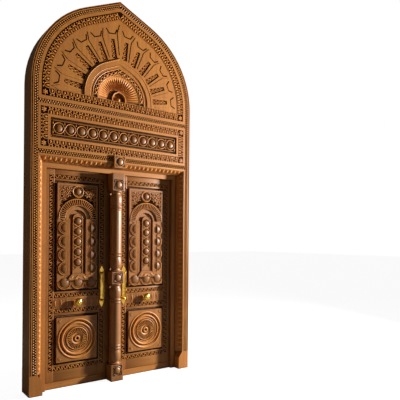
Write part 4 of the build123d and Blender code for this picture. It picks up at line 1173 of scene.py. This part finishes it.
    def foliage(self, bm, domes, shades, centre):
        """Curls of leaves beside the flower over the arch, on a dark sheet of painted shade."""
        height = 1978
        flower = face(centre, SPANDREL_FLOOR, height)
        boss(domes, centre, SPANDREL_FLOOR, height, 34, 16.8)
        moulding(bm, flower, 56, 7, 9, 360, 32)
        for index in range(20):
            place = flower @ shifted(0, 0, 0, index * 18) @ shifted(0, 42)
            stamp(bm, unit("bead"), place @ stretched(4.2, 4.2, 6))
        # Distance from the panel's middle, height and size of each curl on one side
        curls = (
            (88, 1992, 15), (134, 1990, 17), (176, 1994, 12), (100, 1944, 14), (146, 1942, 16),
            (182, 1950, 10), (176, 1900, 14), (134, 1902, 9), (184, 1856, 9), (188, 1816, 7),
        )
        for end, start in ((-1, 60), (1, 200)):
            for across, height, size in curls:
                place = face(centre + end * across, SPANDREL_FLOOR, height)
                moulding(bm, place, size * 0.8, 3.4, 8, 280, 9, start, 3)
                stamp(bm, unit("bead"), place @ stretched(size * 0.36, size * 0.36, 9))
                for petal in range(5):
                    out = place @ shifted(0, 0, 0, petal * 72 + 20) @ shifted(0, size + 6)
                    stamp(bm, unit("petal"), out @ stretched(size * 0.45, 11, 9))
        # Dark strips of painted shade outside the arch
        strip, half, arch, top = 12, 192, 206, 2016
        for x in range(-half, half, strip):
            foot = ARCH_HEIGHT + math.sqrt(arch ** 2 - min(abs(x), abs(x + strip)) ** 2)
            ground(shades, (centre + x, centre + x + strip), SPANDREL_FLOOR, (foot, top))


class DOOR_OT_roundels(bpy.types.Operator):
    """Turn the roundels of the lower leaf panels and carve their corner sprays."""

    bl_idname = "door.roundels"
    bl_label = "Lower panel roundels"

    def execute(self, context):
        for name, side in LEAVES:
            bm, rope, shades = bmesh.new(), bmesh.new(), bmesh.new()
            centre = side * PANEL_CENTRE
            self.roundel(bm, shades, centre)
            for across in (-1, 1):
                for up in (-1, 1):
                    self.spray(bm, centre, across, up)
            # The rope takes the domes' darker finish: painted shade in the sunk margin
            panel_margin(rope, shades, f"lower_panel_{name}")
            new_piece(f"roundel_rope_{name}", rope, f"leaf_{name}", "Carved domes painted shade")
            new_piece(f"roundel_painted_shade_{name}", shades, f"leaf_{name}", "Painted shade coloured ground")
            new_piece(f"roundel_{name}", bm, f"leaf_{name}", "Leaf carving painted highlight")
        return {"FINISHED"}

    def roundel(self, bm, shades, centre):
        """Concentric mouldings with a ring of ribs round a hub, and dark sheets of painted shade in the
        hollows.
        """
        # From the hub outwards, as radii and rises
        line = [
            (1, -9), (12, -9), (13.5, 2), (16, 4.5), (22, 5.5), (28, 4.5), (31, 2), (32, -8.5), (38, -7),
            (46, -4), (53, 0), (57, 1), (59, -2.5), (64, -3), (84, -3), (102, -2.8), (105, -1),
            *half_round(110.5, 5, 5, 5, 1)[::-1], (116.5, -2), (120, -5), (126, -5),
            *half_round(131, 4, 4, 4, -4)[::-1], (140, -4.5), (147, -3), (149, 1),
            *half_round(157.5, 8.5, 6, 6, 1)[::-1], (167, -3), (172, -8), (180, -8.5), (186, -5),
            (188.5, 1), *half_round(197, 8, 6, 5, 1)[::-1], (206, 0),
        ]
        place = face(centre, FIELD_FRONT, ROUNDEL_HEIGHT)
        spun(bm, place, line, 360, 96)
        # Dark rings of painted shade in the hollows of the turning
        hollows = (
            ((2, -8.6), (11.5, -8.6)), ((32.5, -8), (38, -6.6)), ((58.5, -1.9), (104, -2.2)),
            ((119, -4.2), (125, -4.6)), ((172, -7.6), (179, -8.1)),
        )
        for hollow in hollows:
            spun(shades, place, hollow, 360, 64)
        ribs, inner, length = 32, 60, 44
        for index in range(ribs):
            bar(bm, place @ shifted(0, 0, 0, index * 360 / ribs) @ shifted(0, inner), length, 4.4, 7)

    def spray(self, bm, centre, across, up):
        """A spray of leaves in one corner of the panel."""
        corner = face(centre + across * 188, FIELD_FRONT, ROUNDEL_HEIGHT + up * 196)
        inward = math.degrees(math.atan2(-up, -across)) - 90
        for turn, reach, size in ((0, 22, 15), (38, 26, 12), (-38, 26, 12), (68, 28, 9), (-68, 28, 9)):
            place = corner @ shifted(0, 0, 0, inward + turn) @ shifted(0, reach * 0.6)
            stamp(bm, unit("petal"), place @ stretched(size * 0.4, size * 0.8, 5))
        stamp(bm, unit("bead"), corner @ stretched(6, 6, 6))


class DOOR_OT_arcade(bpy.types.Operator):
    """Round the small arcade on the lock rails."""

    bl_idname = "door.arcade"
    bl_label = "Lock rail arcade"

    def execute(self, context):
        count, pitch = 8, 64
        for name, side in LEAVES:
            bm = bmesh.new()
            for index in range(count):
                x = side * PANEL_CENTRE + (index - (count - 1) / 2) * pitch
                self.slot(bm, x)
                rod = face(x, LEAF_FRONT + 5, ARCADE_HEIGHT) @ stretched(8, 40, 10)
                stamp(bm, unit("smooth bead"), rod)
            new_piece(f"arcade_{name}", bm, f"leaf_{name}", "Leaf carving painted highlight")
        return {"FINISHED"}

    def slot(self, bm, x):
        """Half-round moulding round a slot with two round ends."""
        radius, half, rise, reach = 14.5, 2.4, 3, 31
        length = reach + 0.1
        for end, start in ((-1, 180), (1, 0)):
            place = face(x, LEAF_FRONT, ARCADE_HEIGHT + end * reach)
            moulding(bm, place, radius, half, rise, 180, 10, start, 3)
            side = x + end * radius
            spots = ((side, ARCADE_HEIGHT - length), (side, ARCADE_HEIGHT + length))
            bar_between(bm, *spots, LEAF_FRONT, half, rise)


class DOOR_OT_fan(bpy.types.Operator):
    """Carve the fan's knots, the leafy border, and the fluted shell with its small arch."""

    bl_idname = "door.fan"
    bl_label = "Fan and shell"

    def execute(self, context):
        knots, shades, shell, border = [bmesh.new() for _ in range(4)]
        for index in range(SLOTS):
            self.knot(knots, (index + 0.5) * 180 / SLOTS)
            self.shadows(shades, (index + 0.5) * 180 / SLOTS)
        # A dark band of painted shade under the shell's border
        keel_moulding(shades, 271, 26, 0, SHELL_FRONT - GROUND_LIFT, foot=SHELL_FOOT, parts=1)
        self.shell(shell)
        self.border(border)
        new_piece("fan_knots", knots, "frame", "Frame carving painted highlight")
        new_piece("fan_painted_shade", shades, "frame", "Painted shade coloured ground")
        new_piece("fluted_shell", shell, "frame", "Frame carving painted highlight", smooth=60)
        new_piece("shell_border", border, "frame", "Frame carving painted highlight")
        return {"FINISHED"}

    def shadows(self, bm, angle):
        """Dark ground in one slot and in the cup-shaped groove past its end."""
        reach = keel_reach(angle)
        turn = math.radians(90 - angle)
        start, length, half, groove = 412, 186, 19, 5.4
        floor = face(0, SLOT_FLOOR - GROUND_LIFT, FAN_CENTRE, turn)
        bar(bm, floor @ shifted(0, start * reach), length * reach, half, 0, 1)
        # The cup's foot and its two sides
        lines = (((-37, 651.5), (37, 651.5)), ((-35, 651), (-65, 697)), ((35, 651), (65, 697)))
        for line in lines:
            ends = [face(0, 0, FAN_CENTRE, turn) @ Vector((x, y * reach, 0)) for x, y in line]
            spots = [(end.x, end.z) for end in ends]
            bar_between(bm, *spots, FAN_FRONT - GROUND_LIFT, groove, 0, 1)

    def knot(self, bm, angle):
        """Two strands that cross along a slot, with a bead at each crossing."""
        reach = keel_reach(angle)
        start, end = 414 * reach, 597 * reach
        count, strand, rise = 4, 4.4, 12
        length = (end - start) / count
        floor = face(0, SLOT_FLOOR, FAN_CENTRE, math.radians(90 - angle))
        for index in range(count):
            low = start + index * length
            half = 24 - 10 * index / count
            for side in (-1, 1):
                lean = math.degrees(math.atan2(2 * side * half, length))
                run = math.hypot(2 * half, length)
                bar(bm, floor @ shifted(side * half, low, 0, lean), run, strand, rise)
            if index:
                stamp(bm, unit("smooth bead"), floor @ shifted(0, low) @ stretched(8, 8, rise + 1))

    def shell(self, bm):
        """A dish with fine ribs that spread to rounded ends, round a boss and its small arch."""
        work = bmesh.new()
        inner, outer, ribs, rings, deep, rib_rise = 83, 239, 26, 18, 34, 10
        geom = chain(work, [(inner + (outer - inner) * step / rings, 0, 0) for step in range(rings + 1)])
        bmesh.ops.spin(
            work, geom=geom, cent=(0, 0, 0), axis=(0, 0, 1), angle=math.pi, steps=ribs * 6, use_merge=False,
        )
        for vert in work.verts:
            radius = vert.co.xy.length
            share = (math.atan2(vert.co.y, vert.co.x) / math.pi * ribs) % 1
            away = abs(2 * share - 1)
            rib = rib_rise * away ** 3 * math.sin(math.pi * min(1, max(0, (radius - 75) / 170)))
            flat = max(0, min(1, (radius - 226 + 12 * away ** 2) / 6))
            depth = max(0.5, deep * (outer - radius) / (outer - inner) - 1.5 - rib)
            vert.co.z = 0.7 * flat - depth * (1 - flat)
        bmesh.ops.recalc_face_normals(work, faces=work.faces[:])
        join(bm, work, face(0, SHELL_FRONT, FAN_CENTRE))
        stamp(bm, unit("dome"), face(0, SHELL_FRONT + 42, FAN_CENTRE) @ stretched(25.5, 25.5, 39.5))
        keel_moulding(bm, 76, 7, 7, SHELL_FRONT + 8, foot=2946)

    def border(self, bm):
        """Beads and petals round the shell, and the mouldings of the ring."""
        count, radius = 17, 266
        for index in range(count):
            angle = (index + 0.5) * 180 / count
            turn = math.radians(90 - angle)
            place = face(0, SHELL_FRONT, FAN_CENTRE, turn) @ shifted(0, radius * keel_reach(angle))
            stamp(bm, unit("smooth bead"), place @ stretched(13, 13, 12))
            for side in (-1, 1):
                for across, up, lean in ((15, 11, 50), (14, -11, 130)):
                    leaf = place @ shifted(side * across, up, 0, -side * lean)
                    stamp(bm, unit("petal"), leaf @ stretched(7, 13, 11))
        # Radius, half width and rise of each moulding, and the face it lies on
        rings = (
            (243, 4, 6, SHELL_FRONT), (299, 6, 8, SHELL_FRONT),
            (329, 4, 5, FAN_FRONT), (386, 4, 4, FAN_FRONT - 9),
        )
        for ring in rings:
            keel_moulding(bm, *ring, foot=SHELL_FOOT)


class DOOR_OT_brass(bpy.types.Operator):
    """Turn the knobs and cast the pull handles."""

    bl_idname = "door.brass"
    bl_label = "Knobs and pull handles"

    def execute(self, context):
        steps = context.scene.door_carving.turned_steps
        for name, side in LEAVES:
            self.knob(name, side, steps)
            self.grip(name, side, steps)
        return {"FINISHED"}

    def knob(self, name, side, steps):
        """Turned knob and the round rose behind it."""
        body = f"leaf_{name}"
        height = (near("knob_left").z + far("knob_left").z) / 2
        place = face(side * PANEL_CENTRE, LEAF_FRONT, height)
        bm = bmesh.new()
        line = [
            (0, 62), (6, 61.8), (11, 60.6), (13, 58.6), (15.5, 58.8), (22, 58.8), (30, 56.4), (37, 52),
            (42, 46), (44.6, 39), (44.6, 35), (42, 29.5), (36, 25.5), (28, 23), (20, 21.5), (15, 19),
            (13.5, 14), (14.5, 5),
        ]
        spun(bm, place, eased(line), 360, steps)
        new_piece(f"round_knob_{name}", bm, body, "Polished brass", (f"knob_{name}",), smooth=60)
        bm = bmesh.new()
        line = [(13, 5.4), (22, 5.2), (24, 6), (27, 5.5), (30.5, 3.5), (31, 0), (13, 0), (13, 5.4)]
        spun(bm, place, line, 360, steps)
        new_piece(f"rose_{name}", bm, body, "Polished brass", (f"knob_rose_{name}",), smooth=50)

    def grip(self, name, side, steps):
        """Bar with finials and collars, on two mounts."""
        x = side * 128.5
        low, high, y = 853, 1137, 16.25
        bm = bmesh.new()
        # One end of the bar, as radii and distances from its mount
        end = [
            (0, -26), (2.5, -25), (5, -20), (7, -14), (5, -10), (9.5, -8), (11.5, -5), (11.5, 4), (9.5, 8),
            (6.5, 11), (7.5, 18), (8.6, 34), (9.3, 60), (8.2, 84), (6.8, 96), (9, 99), (9, 104), (6.8, 107),
            (7.4, 120),
        ]
        line = [(radius, low + along) for radius, along in end]
        line += [(radius, high - along) for radius, along in reversed(end)]
        spun(bm, Matrix.Translation((x, y, 0)), eased(line, 2), 360, steps // 2)
        stem = [(6, 49), (7.5, 40), (6, 30), (6, 20), (8, 12), (12, 8), (14, 6.5), (14, 5)]
        for z in (low, high):
            spun(bm, face(x, LEAF_FRONT, z), eased(stem, 2), 360, steps // 2)
        node = f"handle_grip_{name}"
        new_piece(f"pull_grip_{name}", bm, f"leaf_{name}", "Polished brass", (node,), smooth=60)


# Stage

class DOOR_OT_stage(bpy.types.Operator):
    """Set the pale floor, the studio light and the camera."""

    bl_idname = "door.stage"
    bl_label = "Floor, light and camera"

    def execute(self, context):
        bm = bmesh.new()
        bmesh.ops.create_grid(bm, x_segments=1, y_segments=1, size=40)
        mesh = bpy.data.meshes.new("floor")
        bm.to_mesh(mesh)
        bm.free()
        floor = bpy.data.objects.new("floor", mesh)
        context.scene.collection.objects.link(floor)
        tree, shader = new_material("Pale floor")
        shader.inputs["Base Color"].default_value = (0.22, 0.22, 0.22, 1)
        shader.inputs["Roughness"].default_value = 0.9
        rays = add_node(tree, "ShaderNodeLightPath", -300, -200)
        glow = math_node(tree, "MULTIPLY", (rays.outputs["Is Camera Ray"], 0.94), 0, -200)
        shader.inputs["Emission Color"].default_value = (1, 1, 1, 1)
        link(tree, glow, shader.inputs["Emission Strength"])
        paint(floor, "Pale floor")

        context.scene.world = self.studio_world()
        context.scene.view_settings.view_transform = "Standard"
        # Place and target in metres, size and watts; the fills give no highlights
        self.add_light(context, "key", (4.8, -1.95, 2.4), (0.0, 0.0, 2.0), 0.4, 930)
        self.add_light(context, "side fill", (-5.5, -1.6, 2.2), (-0.9, 0.0, 1.9), 2.0, 15, False)
        self.add_light(context, "brass glint", (2.3, -4.7, 1.0), (0.0, 0.0, 1.0), 2.6, 16)
        self.add_light(context, "back fill", (2.4, 5.2, 2.6), (0.0, 0.0, 1.9), 3.0, 150, False)
        self.camera(context)
        return {"FINISHED"}

    def studio_world(self):
        """Dim even light all round, with a plain white background for the camera."""
        world = bpy.data.worlds.new("Studio")
        world.use_nodes = True
        tree = world.node_tree
        tree.nodes.clear()
        rays = add_node(tree, "ShaderNodeLightPath", -600, 200)
        gloss = math_node(tree, "MULTIPLY_ADD", (rays.outputs["Is Glossy Ray"], 0.05, 0.025), -400, 100)
        soft = add_node(tree, "ShaderNodeBackground", -150, 0)
        soft.inputs["Color"].default_value = (1.0, 0.90, 0.78, 1)
        link(tree, gloss, soft.inputs["Strength"])
        plain = add_node(tree, "ShaderNodeBackground", -150, -200)
        plain.inputs["Color"].default_value = (1, 1, 1, 1)
        both = add_node(tree, "ShaderNodeMixShader", 50, 0)
        link(tree, rays.outputs["Is Camera Ray"], both.inputs[0])
        link(tree, soft.outputs[0], both.inputs[1])
        link(tree, plain.outputs[0], both.inputs[2])
        out = add_node(tree, "ShaderNodeOutputWorld", 250, 0)
        link(tree, both.outputs[0], out.inputs["Surface"])
        return world

    def add_light(self, context, name, place, target, size, watts, glossy=True):
        """Square area light at a place, aimed at a target; a fill gives no highlights."""
        data = bpy.data.lights.new(name, "AREA")
        data.size = size
        data.energy = watts
        lamp = bpy.data.objects.new(name, data)
        direction = Vector(target) - Vector(place)
        lamp.location = place
        lamp.visible_glossy = glossy
        lamp.rotation_euler = direction.to_track_quat("-Z", "Y").to_euler()
        context.scene.collection.objects.link(lamp)

    def camera(self, context):
        """Camera at the photograph's place, with its horizon low in the frame."""
        lens_pixels, image_pixels, rise_pixels = 459.92, 400, 39.48
        yaw, roll = -0.6412, 0.0081
        data = bpy.data.cameras.new("camera")
        data.lens = lens_pixels / image_pixels * data.sensor_width
        data.shift_y = rise_pixels / image_pixels
        data.clip_end = 200
        camera = bpy.data.objects.new("camera", data)
        level = Vector((math.cos(yaw), math.sin(yaw), 0))
        upright = Vector((0, 0, 1))
        right = math.cos(roll) * level + math.sin(roll) * upright
        up = -math.sin(roll) * level + math.cos(roll) * upright
        turn = Matrix((right, up, right.cross(up))).transposed()
        eye = Vector((-2.2115, -4.4023 + FRONT * MM, 1.5001))
        camera.matrix_world = Matrix.Translation(eye) @ turn.to_4x4()
        context.scene.collection.objects.link(camera)
        context.scene.camera = camera


SETTINGS = (WoodSettings, CarvingSettings, BrassSettings)
OPERATORS = (
    DOOR_OT_finishes, DOOR_OT_checker, DOOR_OT_leaf_borders, DOOR_OT_tongues, DOOR_OT_scrolls,
    DOOR_OT_bosses, DOOR_OT_post, DOOR_OT_upper_panels, DOOR_OT_roundels, DOOR_OT_arcade,
    DOOR_OT_fan, DOOR_OT_brass, DOOR_OT_stage,
)


class DOOR_PT_panel(bpy.types.Panel):
    """List the pieces of the carved door in the sidebar."""

    bl_idname = "DOOR_PT_panel"
    bl_label = "Carved door"
    bl_space_type = "VIEW_3D"
    bl_region_type = "UI"
    bl_category = "Carved door"

    def draw(self, context):
        column = self.layout.column()
        for operator in OPERATORS:
            column.operator(operator.bl_idname)
        for settings in (context.scene.door_wood, context.scene.door_carving, context.scene.door_brass):
            for name in settings.bl_rna.properties.keys():
                if name not in ("rna_type", "name"):
                    column.prop(settings, name)


def register():
    for entry in (*SETTINGS, *OPERATORS, DOOR_PT_panel):
        bpy.utils.register_class(entry)
    bpy.types.Scene.door_wood = PointerProperty(type=WoodSettings)
    bpy.types.Scene.door_carving = PointerProperty(type=CarvingSettings)
    bpy.types.Scene.door_brass = PointerProperty(type=BrassSettings)


def unregister():
    del bpy.types.Scene.door_brass
    del bpy.types.Scene.door_carving
    del bpy.types.Scene.door_wood
    for entry in reversed((*SETTINGS, *OPERATORS, DOOR_PT_panel)):
        bpy.utils.unregister_class(entry)


def main():
    register()
    for operator in OPERATORS:
        group, name = operator.bl_idname.split(".")
        getattr(getattr(bpy.ops, group), name)()


if __name__ == "__main__":
    main()
